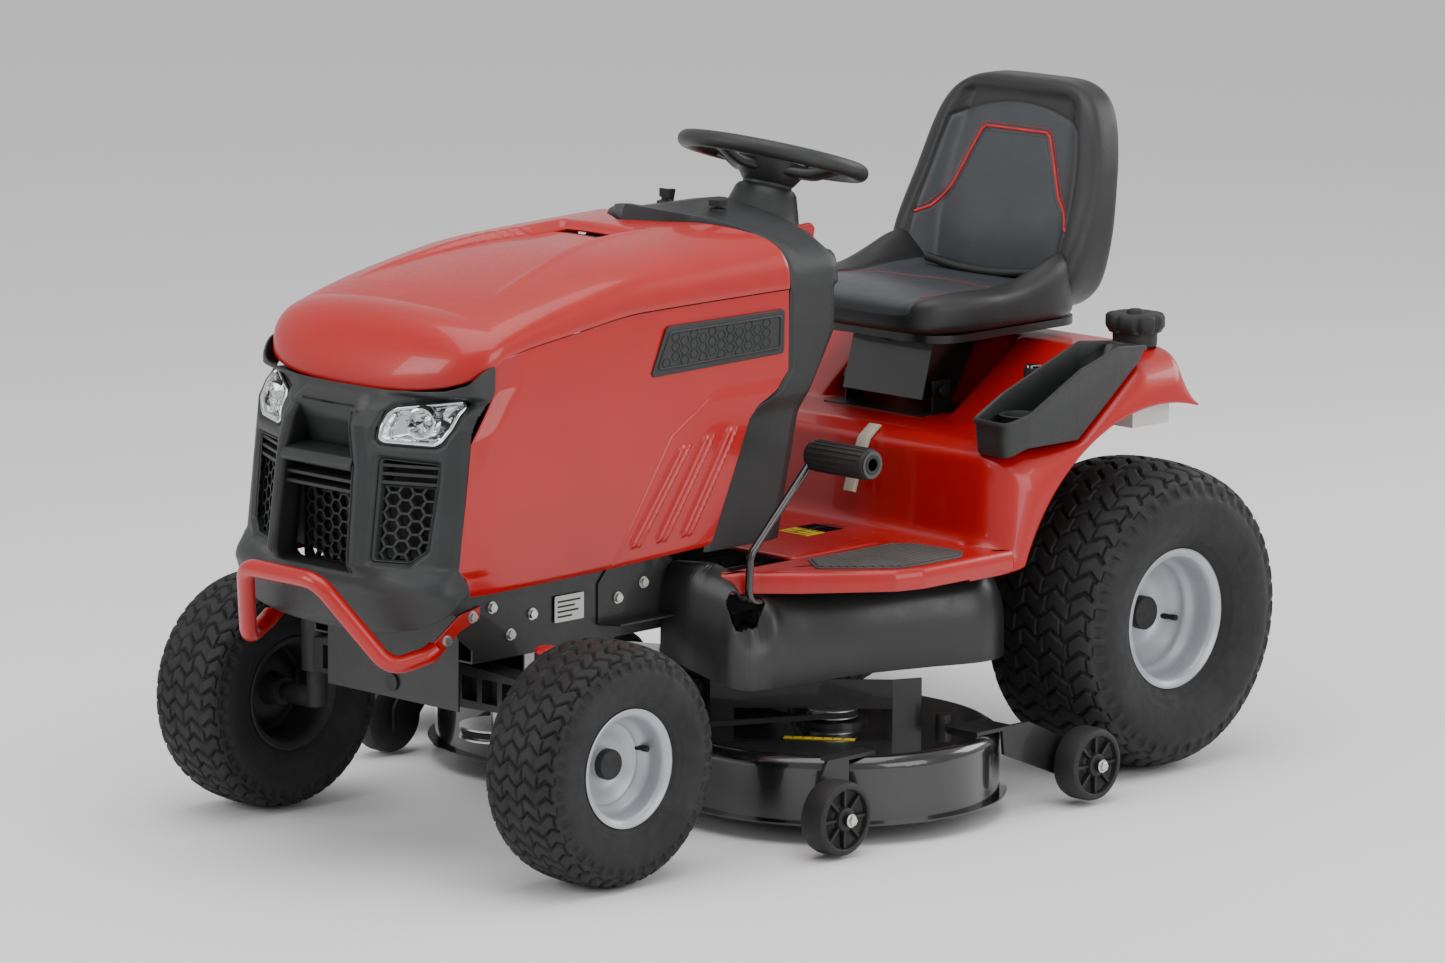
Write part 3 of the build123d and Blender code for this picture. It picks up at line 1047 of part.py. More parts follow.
with BuildPart() as fasteners:           # hexagon heads on washers
    for side in (1, -1):
        for y0, z0, x0 in ((-662, 410, 183), (-680, 368, 183), (-622, 362, 183), (-575, 388, 183), (-387, 388, 183), (-330, 405, 183), (-708, 402, 187.4), (-762, 372, 187.4)):
            if x0 == 183 and y0 == -680:
                continue
            with BuildSketch(Plane.YZ.offset(side * x0)) as s:
                with Locations((y0, z0)):
                    Circle(9.5)
            extrude(amount=side * 1.6)
            with BuildSketch(Plane.YZ.offset(side * (x0 + 1.6))) as s:
                with Locations((y0, z0)):
                    RegularPolygon(7.5, 6)
            extrude(amount=side * 5)
fasteners.part.label = "fasteners"
export_step(fasteners.part, "parts/fasteners.step")
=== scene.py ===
import math
import random
import bpy
import bmesh
import numpy as np
from mathutils import Vector, Matrix

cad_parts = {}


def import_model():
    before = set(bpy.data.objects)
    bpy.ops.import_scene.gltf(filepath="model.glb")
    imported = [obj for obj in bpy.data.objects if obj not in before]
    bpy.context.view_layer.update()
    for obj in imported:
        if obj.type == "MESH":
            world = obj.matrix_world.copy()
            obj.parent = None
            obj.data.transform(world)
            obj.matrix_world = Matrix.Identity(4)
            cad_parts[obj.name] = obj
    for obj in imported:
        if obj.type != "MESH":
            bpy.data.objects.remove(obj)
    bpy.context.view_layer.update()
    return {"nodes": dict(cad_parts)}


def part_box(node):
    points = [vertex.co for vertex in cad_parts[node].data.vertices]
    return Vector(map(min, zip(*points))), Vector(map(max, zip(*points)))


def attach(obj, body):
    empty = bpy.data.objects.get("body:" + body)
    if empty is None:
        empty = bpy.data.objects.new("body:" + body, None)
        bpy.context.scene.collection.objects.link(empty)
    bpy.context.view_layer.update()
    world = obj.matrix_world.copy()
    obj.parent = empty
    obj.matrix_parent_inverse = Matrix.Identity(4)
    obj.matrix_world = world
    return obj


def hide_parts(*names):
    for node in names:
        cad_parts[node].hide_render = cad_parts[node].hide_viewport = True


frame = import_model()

NODES = frame["nodes"]
K = 0.001
RNG = random.Random(7)


# ---------------------------------------------------------------- node materials
def socket(sh, *names):
    for n in names:
        if n in sh.inputs:
            return sh.inputs[n]
    return None


def material(name, base, rough, metal=0.0, coat=0.0, vary=0.12, scale=60.0, bump=0.02, bump_scale=900.0, rough_vary=0.12,
             dust=0.0, pattern="noise", spec=0.5, sheen=0.0):
    """Procedural finish: colour drifts by vary, roughness by rough_vary, grain by bump."""
    m = bpy.data.materials.new(name)
    m.use_nodes = True
    nt = m.node_tree
    nt.nodes.clear()
    out = nt.nodes.new("ShaderNodeOutputMaterial")
    sh = nt.nodes.new("ShaderNodeBsdfPrincipled")
    nt.links.new(sh.outputs[0], out.inputs[0])
    co = nt.nodes.new("ShaderNodeTexCoord")
    n1 = nt.nodes.new("ShaderNodeTexNoise")
    n1.inputs["Scale"].default_value = scale * 0.12
    n1.inputs["Detail"].default_value = 5
    nt.links.new(co.outputs["Object"], n1.inputs["Vector"])
    ramp = nt.nodes.new("ShaderNodeValToRGB")
    dark = [max(0.0, c * (1 - vary)) for c in base]
    lite = [min(1.0, c * (1 + vary) + dust * 0.02) for c in base]
    ramp.color_ramp.elements[0].position = 0.35
    ramp.color_ramp.elements[1].position = 0.68
    ramp.color_ramp.elements[0].color = (*dark, 1)
    ramp.color_ramp.elements[1].color = (*lite, 1)
    nt.links.new(n1.outputs["Fac"], ramp.inputs["Fac"])
    colour = ramp.outputs["Color"]
    if dust:
        n3 = nt.nodes.new("ShaderNodeTexNoise")
        n3.inputs["Scale"].default_value = 14
        n3.inputs["Detail"].default_value = 8
        nt.links.new(co.outputs["Object"], n3.inputs["Vector"])
        r3 = nt.nodes.new("ShaderNodeValToRGB")
        r3.color_ramp.elements[0].position = 0.5
        r3.color_ramp.elements[1].position = 0.75
        r3.color_ramp.elements[0].color = (0, 0, 0, 1)
        r3.color_ramp.elements[1].color = (dust, dust, dust, 1)
        nt.links.new(n3.outputs["Fac"], r3.inputs["Fac"])
        mix = nt.nodes.new("ShaderNodeMix")
        mix.data_type = "RGBA"
        nt.links.new(r3.outputs["Color"], mix.inputs["Factor"])
        nt.links.new(colour, mix.inputs["A"])
        mix.inputs["B"].default_value = (0.16, 0.15, 0.135, 1)
        colour = mix.outputs["Result"]
    nt.links.new(colour, sh.inputs["Base Color"])
    n2 = nt.nodes.new("ShaderNodeTexNoise")
    n2.inputs["Scale"].default_value = scale
    n2.inputs["Detail"].default_value = 6
    nt.links.new(co.outputs["Object"], n2.inputs["Vector"])
    mr = nt.nodes.new("ShaderNodeMapRange")
    mr.inputs["From Min"].default_value = 0.3
    mr.inputs["From Max"].default_value = 0.7
    mr.inputs["To Min"].default_value = max(0.02, rough * (1 - rough_vary))
    mr.inputs["To Max"].default_value = min(1.0, rough * (1 + rough_vary))
    nt.links.new(n2.outputs["Fac"], mr.inputs["Value"])
    nt.links.new(mr.outputs["Result"], sh.inputs["Roughness"])
    if metal:
        sh.inputs["Metallic"].default_value = metal
    if coat:
        sh.inputs["Coat Weight"].default_value = coat
        sh.inputs["Coat Roughness"].default_value = 0.04
    if spec != 0.5:
        socket(sh, "Specular IOR Level", "Specular").default_value = spec
    if sheen:
        sh.inputs["Sheen Weight"].default_value = sheen
    if bump:
        if pattern == "leather":
            t = nt.nodes.new("ShaderNodeTexVoronoi")
            t.inputs["Scale"].default_value = bump_scale
            h = t.outputs["Distance"]
        else:
            t = nt.nodes.new("ShaderNodeTexNoise")
            t.inputs["Scale"].default_value = bump_scale
            t.inputs["Detail"].default_value = 3
            h = t.outputs["Fac"]
        nt.links.new(co.outputs["Object"], t.inputs["Vector"])
        b = nt.nodes.new("ShaderNodeBump")
        b.inputs["Strength"].default_value = min(1.0, bump * 10)
        b.inputs["Distance"].default_value = 0.0006
        nt.links.new(h, b.inputs["Height"])
        nt.links.new(b.outputs["Normal"], sh.inputs["Normal"])
    return m


M = {
    "red_paint": material("red_paint", (0.42, 0.0, 0.0), 0.36, coat=0.35, vary=0.04, scale=90, bump=0.004, bump_scale=500),
    "red_plastic": material("red_plastic", (0.40, 0.0, 0.0), 0.32, coat=0.35, vary=0.05, scale=110, bump=0.006, bump_scale=700),
    "dark_plastic": material("dark_plastic", (0.017, 0.018, 0.019), 0.46, vary=0.12, scale=140, bump=0.035, bump_scale=1600),
    "guard_plastic": material("guard_plastic", (0.016, 0.0165, 0.0175), 0.36, vary=0.12, scale=60, bump=0.015, bump_scale=900),
    "black_paint": material("black_paint", (0.005, 0.005, 0.0055), 0.22, coat=0.8, vary=0.2, scale=50, bump=0.01, bump_scale=500, dust=0.04),
    "frame_black": material("frame_black", (0.008, 0.008, 0.0085), 0.42, coat=0.2, vary=0.2, scale=70, bump=0.02, bump_scale=900, dust=0.05),
    "cast_black": material("cast_black", (0.020, 0.020, 0.021), 0.60, vary=0.25, scale=90, bump=0.06, bump_scale=420),
    "rim_silver": material("rim_silver", (0.43, 0.45, 0.48), 0.38, metal=0.35, coat=0.25, vary=0.05, scale=200, bump=0.012, bump_scale=1500),
    "tyre": material("tyre", (0.014, 0.014, 0.0145), 0.66, vary=0.22, scale=60, bump=0.05, bump_scale=500, spec=0.35, dust=0.05),
    "rubber": material("rubber", (0.011, 0.011, 0.0115), 0.62, vary=0.2, scale=120, bump=0.05, bump_scale=900),
    "vinyl_black": material("vinyl_black", (0.010, 0.010, 0.011), 0.40, vary=0.12, scale=40, bump=0.045, bump_scale=750, pattern="leather"),
    "vinyl_grey": material("vinyl_grey", (0.060, 0.066, 0.074), 0.44, vary=0.09, scale=40, bump=0.05, bump_scale=750, pattern="leather"),
    "red_thread": material("red_thread", (0.55, 0.008, 0.012), 0.5, vary=0.2, scale=300, bump=0.08, bump_scale=1800),
    "thread": material("thread", (0.05, 0.05, 0.052), 0.6, vary=0.2, scale=300, bump=0.08, bump_scale=1800),
    "lens": None,
    "zinc": material("zinc", (0.62, 0.61, 0.58), 0.30, metal=0.95, vary=0.08, scale=200, bump=0.02, bump_scale=1400),
    "steel": material("steel", (0.50, 0.50, 0.49), 0.30, metal=0.9, vary=0.12, scale=120, bump=0.03, bump_scale=900),
    "chrome": material("chrome", (0.82, 0.83, 0.84), 0.08, metal=1.0, vary=0.03, scale=80, bump=0.003, bump_scale=300),
    "engine_alu": material("engine_alu", (0.36, 0.36, 0.35), 0.45, metal=0.8, vary=0.15, scale=90, bump=0.05, bump_scale=420),
    "white_plastic": material("white_plastic", (0.72, 0.71, 0.67), 0.45, vary=0.05, scale=90, bump=0.01, bump_scale=900),
    "beige": material("beige", (0.46, 0.42, 0.33), 0.4, vary=0.06, scale=90, bump=0.01, bump_scale=700),
    "mat_grey": material("mat_grey", (0.075, 0.068, 0.064), 0.72, vary=0.15, scale=120, bump=0.06, bump_scale=1100),
    "yellow": material("yellow", (0.75, 0.52, 0.015), 0.4, vary=0.08, scale=80, bump=0.01, bump_scale=600),
    "belt": material("belt", (0.012, 0.012, 0.012), 0.8, vary=0.3, scale=200, bump=0.06, bump_scale=1200),
    "grease_red": material("grease_red", (0.60, 0.010, 0.012), 0.4, vary=0.08, scale=150, bump=0.02, bump_scale=900),
}


def lens_material():
    m = bpy.data.materials.new("clear_lens")
    m.use_nodes = True
    nt = m.node_tree
    sh = nt.nodes["Principled BSDF"]
    sh.inputs["Transmission Weight"].default_value = 1.0
    sh.inputs["IOR"].default_value = 1.35
    co = nt.nodes.new("ShaderNodeTexCoord")
    n = nt.nodes.new("ShaderNodeTexNoise")
    n.inputs["Scale"].default_value = 120
    r = nt.nodes.new("ShaderNodeValToRGB")
    r.color_ramp.elements[0].color = (0.93, 0.95, 0.97, 1)
    r.color_ramp.elements[1].color = (1, 1, 1, 1)
    nt.links.new(co.outputs["Object"], n.inputs["Vector"])
    nt.links.new(n.outputs["Fac"], r.inputs["Fac"])
    nt.links.new(r.outputs["Color"], sh.inputs["Base Color"])
    mr = nt.nodes.new("ShaderNodeMapRange")
    mr.inputs["To Min"].default_value = 0.01
    mr.inputs["To Max"].default_value = 0.05
    nt.links.new(n.outputs["Fac"], mr.inputs["Value"])
    nt.links.new(mr.outputs["Result"], sh.inputs["Roughness"])
    return m


M["lens"] = lens_material()


def label_material():
    """Pale plate with plain printed bars, no lettering."""
    m = material("data_plate", (0.62, 0.62, 0.60), 0.35, vary=0.04, scale=120, bump=0.01)
    return m


M["plate"] = label_material()


# ---------------------------------------------------------------- mesh helpers (millimetres in, metres out)
def obj(name, verts, faces, mat, smooth=40, mats=None, midx=None):
    me = bpy.data.meshes.new(name)
    me.from_pydata([(v[0] * K, v[1] * K, v[2] * K) for v in verts], [], faces)
    me.validate()
    o = bpy.data.objects.new(name, me)
    bpy.context.scene.collection.objects.link(o)
    for mt in (mats or [mat]):
        me.materials.append(M[mt])
    if midx is not None and len(midx) == len(me.polygons):
        me.polygons.foreach_set("material_index", midx)
    me.shade_smooth()
    if smooth:
        me.set_sharp_from_angle(angle=math.radians(smooth))
    return o


def bevel(o, w, seg=3, angle=35):
    b = o.modifiers.new("edge", "BEVEL")
    b.width = w * K
    b.segments = seg
    b.limit_method = "ANGLE"
    b.angle_limit = math.radians(angle)
    b.harden_normals = False
    return o


def thick(o, t, offset=-1.0):
    s = o.modifiers.new("wall", "SOLIDIFY")
    s.thickness = t * K
    s.offset = offset
    return o


def place(o, body, slot=None, *nodes):
    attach(o, body)
    if nodes:
        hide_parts(*nodes)
    return o


def grid(name, P, mat, keep=None, closed_u=False, closed_v=False, flip=False, **kw):
    P = np.asarray(P, float)
    nu, nv = P.shape[:2]
    V = P.reshape(-1, 3)
    F = []
    for i in range(nu if closed_u else nu - 1):
        for j in range(nv if closed_v else nv - 1):
            if keep is not None and not keep[i % keep.shape[0], j % keep.shape[1]]:
                continue
            a, b = i * nv + j, ((i + 1) % nu) * nv + j
            c, d = ((i + 1) % nu) * nv + (j + 1) % nv, i * nv + (j + 1) % nv
            F.append((a, d, c, b) if flip else (a, b, c, d))
    return obj(name, V, F, mat, **kw)


def hermite(x, xs, ys):
    """Smooth monotone curve through (xs, ys)."""
    xs, ys = np.asarray(xs, float), np.asarray(ys, float)
    x = np.clip(x, xs[0], xs[-1])
    h = np.diff(xs)
    d = np.diff(ys) / h
    m = np.zeros(len(xs))
    m[0], m[-1] = d[0], d[-1]
    for i in range(1, len(xs) - 1):
        m[i] = 0 if d[i - 1] * d[i] <= 0 else 2 * d[i - 1] * d[i] / (d[i - 1] + d[i])
    i = np.clip(np.searchsorted(xs, x, side="right") - 1, 0, len(xs) - 2)
    t = (x - xs[i]) / h[i]
    return ys[i] * (2 * t**3 - 3 * t**2 + 1) + m[i] * h[i] * (t**3 - 2 * t**2 + t) + ys[i + 1] * (-2 * t**3 + 3 * t**2) + m[i + 1] * h[i] * (t**3 - t**2)


def sstep(a, b, x):
    t = np.clip((x - a) / (b - a), 0, 1)
    return t * t * (3 - 2 * t)


def path_smooth(pts, n, closed=False):
    """Catmull-Rom through points, resampled evenly."""
    p = np.asarray(pts, float)
    if closed:
        q = np.vstack([p[-1], p, p[0], p[1]])
    else:
        q = np.vstack([2 * p[0] - p[1], p, 2 * p[-1] - p[-2]])
    out = []
    for i in range(1, len(q) - 2):
        for t in np.linspace(0, 1, 12, endpoint=False):
            a, b, c, d = q[i - 1], q[i], q[i + 1], q[i + 2]
            out.append(0.5 * (2 * b + (c - a) * t + (2 * a - 5 * b + 4 * c - d) * t * t + (3 * b - a - 3 * c + d) * t**3))
    if not closed:
        out.append(q[-2])
    out = np.array(out)
    if closed:
        out = np.vstack([out, out[0]])
    s = np.r_[0, np.cumsum(np.linalg.norm(np.diff(out, axis=0), axis=1))]
    ss = np.linspace(0, s[-1], n + 1 if closed else n)
    res = np.stack([np.interp(ss, s, out[:, k]) for k in range(out.shape[1])], 1)
    return res[:-1] if closed else res


def fillet(pts, r, closed=False, seg=6):
    """Round the corners of a path with radius r (or a list of radii)."""
    P = [np.asarray(p, float) for p in pts]
    n = len(P)
    out = []
    for i in range(n):
        if not closed and i in (0, n - 1):
            out.append(P[i])
            continue
        a, b, c = P[i - 1], P[i], P[(i + 1) % n]
        rr = r[i] if isinstance(r, (list, tuple)) else r
        u, v = (a - b), (c - b)
        lu, lv = np.linalg.norm(u), np.linalg.norm(v)
        u, v = u / lu, v / lv
        ang = math.acos(max(-1, min(1, float(u @ v))))
        if rr <= 0 or ang > math.pi - 0.02:
            out.append(b)
            continue
        t = min(rr / math.tan(ang / 2), lu * 0.49, lv * 0.49)
        p0, p1 = b + u * t, b + v * t
        for s in np.linspace(0, 1, seg + 1):
            out.append((1 - s) ** 2 * p0 + 2 * s * (1 - s) * b + s * s * p1)
    return out


def tube(name, pts, r, mat, n=20, cap=True, closed=False, squashed=None, **kw):
    """Round bar along a path. r is one radius or one per point."""
    P = np.asarray(pts, float)
    N = len(P)
    R = np.full(N, r, float) if np.isscalar(r) else np.asarray(r, float)
    T = np.zeros_like(P)
    for i in range(N):
        a = P[(i - 1) % N] if (closed or i > 0) else P[i]
        b = P[(i + 1) % N] if (closed or i < N - 1) else P[i]
        T[i] = (b - a) / (np.linalg.norm(b - a) + 1e-9)
    up = np.array([0, 0, 1.0]) if abs(T[0][2]) < 0.9 else np.array([1.0, 0, 0])
    V, nrm = [], np.cross(T[0], up)
    nrm /= np.linalg.norm(nrm)
    for i in range(N):
        nrm = nrm - T[i] * (nrm @ T[i])
        nrm /= np.linalg.norm(nrm)
        bi = np.cross(T[i], nrm)
        for k in range(n):
            a = 2 * math.pi * k / n
            V.append(P[i] + R[i] * (nrm * math.cos(a) + bi * math.sin(a)))
    F = []
    for i in range(N if closed else N - 1):
        for k in range(n):
            a, b = i * n + k, i * n + (k + 1) % n
            c, d = ((i + 1) % N) * n + (k + 1) % n, ((i + 1) % N) * n + k
            F.append((a, b, c, d))
    if cap and not closed:
        F.append(tuple(range(n - 1, -1, -1)))
        F.append(tuple((N - 1) * n + k for k in range(n)))
    return obj(name, V, F, mat, **kw)


def lathe(name, prof, mat, axis="x", centre=(0, 0, 0), n=96, a0=0.0, closed=True, **kw):
    """Profile of (offset along axis, radius), turned about the axis through centre."""
    A = {"x": ((0, 1, 0), (0, 0, 1), (1, 0, 0)), "y": ((1, 0, 0), (0, 0, 1), (0, 1, 0)), "z": ((1, 0, 0), (0, 1, 0), (0, 0, 1))}[axis] if isinstance(axis, str) else axis
    e1, e2, e3 = (np.array(v, float) for v in A)
    c = np.array(centre, float)
    P = [[c + e3 * h + (e1 * math.cos(a0 + 2 * math.pi * i / n) + e2 * math.sin(a0 + 2 * math.pi * i / n)) * r for i in range(n)] for h, r in prof]
    return grid(name, P, mat, closed_v=True, **kw)


def prism(name, poly, depth, mat, origin=(0, 0, 0), ex=(1, 0, 0), ey=(0, 1, 0), bev=0.0, seg=3, holes=(), **kw):
    """Polygon (local x, y) pushed along ex x ey by depth."""
    ex, ey, o = np.array(ex, float), np.array(ey, float), np.array(origin, float)
    ez = np.cross(ex, ey)
    n = len(poly)
    V = [o + ex * p[0] + ey * p[1] for p in poly] + [o + ex * p[0] + ey * p[1] + ez * depth for p in poly]
    F = [tuple(range(n - 1, -1, -1)), tuple(range(n, 2 * n))] + [(i, (i + 1) % n, n + (i + 1) % n, n + i) for i in range(n)]
    me = obj(name, V, F, mat, **kw)
    bm = bmesh.new()
    bm.from_mesh(me.data)
    bmesh.ops.recalc_face_normals(bm, faces=bm.faces)
    bm.to_mesh(me.data)
    bm.free()
    if bev:
        bevel(me, bev, seg)
    return me


def join(name, objs):
    """One object out of several, modifiers applied."""
    dg = bpy.context.evaluated_depsgraph_get()
    bm = bmesh.new()
    mats = []
    for o in objs:
        ev = o.evaluated_get(dg)
        me = ev.to_mesh()
        idx = []
        for s in o.data.materials:
            if s not in mats:
                mats.append(s)
            idx.append(mats.index(s))
        n0 = len(bm.faces)
        bm.from_mesh(me)
        bm.faces.ensure_lookup_table()
        for f in bm.faces[n0:]:
            f.material_index = idx[min(f.material_index, len(idx) - 1)] if idx else 0
        ev.to_mesh_clear()
    me = bpy.data.meshes.new(name)
    bm.to_mesh(me)
    bm.free()
    for s in mats:
        me.materials.append(s)
    o2 = bpy.data.objects.new(name, me)
    bpy.context.scene.collection.objects.link(o2)
    for o in objs:
        bpy.data.objects.remove(o, do_unlink=True)
    return o2


def mirror_x(pts):
    return [(-p[0],) + tuple(p[1:]) for p in pts]


def hexbolt(c, axis, r=7.5, h=6, washer=True, mat="zinc"):
    """Flanged hexagon head at c, axis is the outward direction."""
    a = np.array(axis, float)
    a /= np.linalg.norm(a)
    e1 = np.cross(a, (0, 0, 1.0)) if abs(a[2]) < 0.9 else np.array([1.0, 0, 0])
    e1 /= np.linalg.norm(e1)
    e2 = np.cross(a, e1)
    parts = []
    if washer:
        parts.append(lathe("w", [(0, 0.01), (0, r * 1.35), (1.2, r * 1.35), (2.0, r * 1.15), (2.0, 0.01)], mat, axis=(e1, e2, a), centre=c, n=24, smooth=30))
    parts.append(lathe("h", [(1.5, 0.01), (1.5, r), (h - 0.8, r), (h, r * 0.86), (h - 0.3, r * 0.6), (h - 0.3, 0.01)], mat, axis=(e1, e2, a), centre=c, n=6, smooth=20))
    return parts


# ================================================================ hood top
HY = [-796, -786, -757, -693, -543, -390, -40]
HW = [0.0, 120, 221, 240, 240, 240, 240]
HZS = [754, 757, 776, 810, 833, 850, 853]
HZC = [760, 794, 834, 870, 915, 940, 955]
SX = np.array([1, .955, .85, .625, .333, 0])
SZ = np.array([0, .30, .592, .775, .915, 1])


def hood_xyz(u, t):
    """u -1..1 across, t 0..1 from the bow to the rear edge."""
    a = abs(u)
    ang = a * math.pi / 2
    # superellipse section, a=1 at the seam
    X = math.sin(ang) ** 0.93
    Z = math.cos(ang) ** 0.62
    yr = float(np.interp(X * 240, [0, 60, 100, 160, 205, 240], [-208, -172, -128, -90, -68, -63]))
    y0 = -796.0
    tt = t / 0.86
    y = y0 + (-238 - y0) * tt ** 1.5 if tt <= 1 else -238 + (yr + 238) * (t - 0.86) / 0.14
    w = float(240 * (1 - (1 - min(1, (y + 796) / 103.0)) ** 2.6) ** 0.45) if y < -693 else 240.0
    zs, zc = float(hermite(y, HY, HZS)), float(hermite(y, HY, HZC))
    if y < -693:
        k = min(1, max(0, (y + 796) / 103.0))
        zs = 754 + (810 - 754) * k ** 1.15
        zc = 757 + (870 - 757) * (1 - (1 - k) ** 2.1) ** 0.62
    return w * X * (1 if u >= 0 else -1), y, zs + (zc - zs) * Z


def seam_z(y):
    if y < -693:
        k = min(1, max(0, (y + 796) / 103.0))
        return 754 + 56 * k ** 1.15
    return float(hermite(y, HY, HZS))


NU, NT = 141, 200
us = np.linspace(-1, 1, NU)
P = np.zeros((NU, NT, 3))
for i, u in enumerate(us):
    for j, t in enumerate(np.linspace(0, 1, NT)):
        P[i, j] = hood_xyz(u, t)
# shallow scoop panel widening to the rear and the air slot behind it
X_, Y_ = P[:, :, 0], P[:, :, 1]
half = np.interp(Y_, [-640, -330], [150, 78])
wfront = sstep(-650, -560, Y_)
inside = 1 - sstep(-5, 5, np.abs(X_) - half)
rear = 1 - sstep(-262, -246, Y_)
P[:, :, 2] -= (3.0 + 9.0 * sstep(-600, -300, Y_)) * inside * wfront * rear
# soft shoulder crease that runs back from the nose
P[:, :, 2] += 2.2 * np.exp(-((np.abs(X_) - np.interp(Y_, [-640, -330], [156, 84])) / 9.0) ** 2) * wfront * (1 - sstep(-262, -225, Y_))
slot = (np.abs(0.25 * (X_[:-1, :-1] + X_[1:, 1:] + X_[1:, :-1] + X_[:-1, 1:])) < 58) & (Y_[:-1, :-1] > -300) & (Y_[:-1, :-1] < -264)
hood = grid("hood_shell", P, "red_paint", keep=~slot, flip=True, smooth=50)
thick(hood, 3.2)
bevel(hood, 1.2, 2, 50)
place(hood, "hood", "red_paint", "hood_top")
duct = prism("hood_air_duct", [(-66, -300), (66, -300), (66, -246), (-66, -246)], -26, "dark_plastic", origin=(0, 0, 928), bev=2)
rib1 = prism("r1", [(-66, -290), (66, -290), (66, -286), (-66, -286)], 6, "dark_plastic", origin=(0, 0, 926), bev=0.6)
rib2 = prism("r2", [(-66, -272), (66, -272), (66, -268), (-66, -268)], 6, "dark_plastic", origin=(0, 0, 926), bev=0.6)
place(join("hood_air_duct", [duct, rib1, rib2]), "hood", "dark_plastic")

# ================================================================ hood side panels
BY, BZ = [-752, -483, -249], [446, 451, 460]
TY, TZ = [-707, -486, -376, -64], [799, 836, 846, 850]


def front_y(z):
    return float(np.interp(z, [446, 479, 492, 704, 752, 799], [-752, -766, -783, -757, -709, -707]))


def rear_y(z):
    return float(np.interp(z, [460, 465, 653, 673, 694, 721, 850], [-249, -236, -157, -137, -92, -66, -63]))


def side_panel(side):
    nu, nv = 236, 150
    P = np.zeros((nu, nv, 3))
    for i in range(nu):
        for j in range(nv):
            v = j / (nv - 1)
            u = i / (nu - 1)
            z0 = 446 + (800 - 446) * v
            zr = 460 + (849.5 - 460) * v
            yf, yr = front_y(z0), rear_y(zr)
            y = yf + (yr - yf) * u
            zb = float(np.interp(y, BY, BZ))
            zt = seam_z(y) - 2.2
            z = zb + (zt - zb) * v
            if v < 0.14:
                pass
            x = 238.0
            x += 4.0 * math.sin(math.pi * min(1, max(0, v))) ** 0.7
            x -= 9.0 * (1 - sstep(0, 70, y - yf)) ** 2           # rolls in to meet the nose
            x -= 3.5 * (1 - sstep(0, 12, z - zb)) ** 2
            # slanted raised area behind the feature line
            ln = y - np.interp(z, [458, 646, 708], [-458, -334, -230])
            x += 1.8 * sstep(0, 6, ln) * (1 - sstep(690, 712, z))
            # louvres
            for (ya, za, yb, zb2, w) in ((-422, 482, -315, 625, 26), (-364, 484, -262, 634, 26), (-308, 486, -209, 641, 25)):
                s = (z - za) / (zb2 - za)
                if -0.08 < s < 1.1:
                    yl = ya + (yb - ya) * s
                    d = y - yl
                    ends = sstep(-0.035, 0.03, s) * (1 - sstep(0.97, 1.045, s))
                    if -4 < d < 30:
                        x += ends * (5.6 * sstep(-2.0, 3.0, d) * (1 - sstep(19, 27, d)) - 2.6 * sstep(6.5, 10, d) * (1 - sstep(16, 20, d)))
            P[i, j] = (x * side, y, z)
    o = grid("hood_side_" + ("left" if side > 0 else "right"), P, "red_paint", flip=side > 0, smooth=60)
    thick(o, 3.0, -1.0)
    bevel(o, 0.9, 2, 50)
    return place(o, "hood", "red_paint", "hood_sides")


side_panel(1)
side_panel(-1)


# side badges: dark inset panels with a hexagon relief, no lettering
def badge(side):
    poly = [(-345, 818), (-377, 750), (-372, 745), (-82, 751), (-78, 756), (-77, 818), (-81, 822), (-338, 822)]
    x0 = 243.2
    parts = []
    ex, ey = ((0, 1, 0), (0, 0, 1)) if side > 0 else ((0, -1, 0), (0, 0, 1))
    q = [(p[0] * (1 if side > 0 else -1), p[1]) for p in poly]
    parts.append(prism("b", q, 3.6, "dark_plastic", origin=(side * x0, 0, 0), ex=ex, ey=ey, bev=1.2))
    rim = [(-336, 812), (-364, 756), (-88, 761), (-87, 812)]
    rr = fillet([(p[0], p[1]) for p in rim], 6, closed=True)
    line = [(side * (x0 + 3.6), p[0], p[1]) for p in rr]
    parts.append(tube("t", line, 2.2, "dark_plastic", n=10, closed=True))
    for i in range(0, 13):
        for j in range(0, 4):
            cy, cz = -345 + i * 20.5, 765 + j * 15.6 + (7.8 if i % 2 else 0)
            if cz > 806 or cz < 764 or cy + 1 < np.interp(cz, [756, 812], [-352, -322]) or cy > -100:
                continue
            hexa = [(side * (x0 + 3.8), cy + 9.2 * math.cos(math.radians(60 * k)), cz + 7.6 * math.sin(math.radians(60 * k))) for k in range(6)]
            parts.append(tube("h", hexa, 0.9, "dark_plastic", n=6, closed=True))
    return place(join("hood_badge_" + ("left" if side > 0 else "right"), parts), "hood", "dark_plastic", "hood_badges")


badge(1)
badge(-1)


# ================================================================ nose, grille and headlights
def nose_pt(a, z, out=0.0):
    """a -1..1 round the nose (0 centre), at height z."""
    ys = float(np.interp(z, [374, 392, 446, 470, 492, 704, 728, 748, 760], [-728, -740, -757, -768, -786, -760, -745, -722, -712]))
    aa = abs(a)
    # plan curve: x over 240, y behind the bow
    ang = aa * math.pi / 2
    x = 240 * math.sin(ang) ** 0.86
    rnd = 92 * max(0.0, math.cos(ang)) ** 0.60
    fac = float(np.interp(x, [0, 60, 86, 112, 150, 190, 215, 232, 240], [93, 92, 87, 75, 57, 37, 24, 10, 0]))
    kf = float(sstep(468, 500, z)) * (1 - float(sstep(744, 760, z)))
    y = ys - (rnd * (1 - kf) + fac * kf)
    if aa > 0.90:
        y = y + 0
    return (x * (1 if a >= 0 else -1), y - out, z)


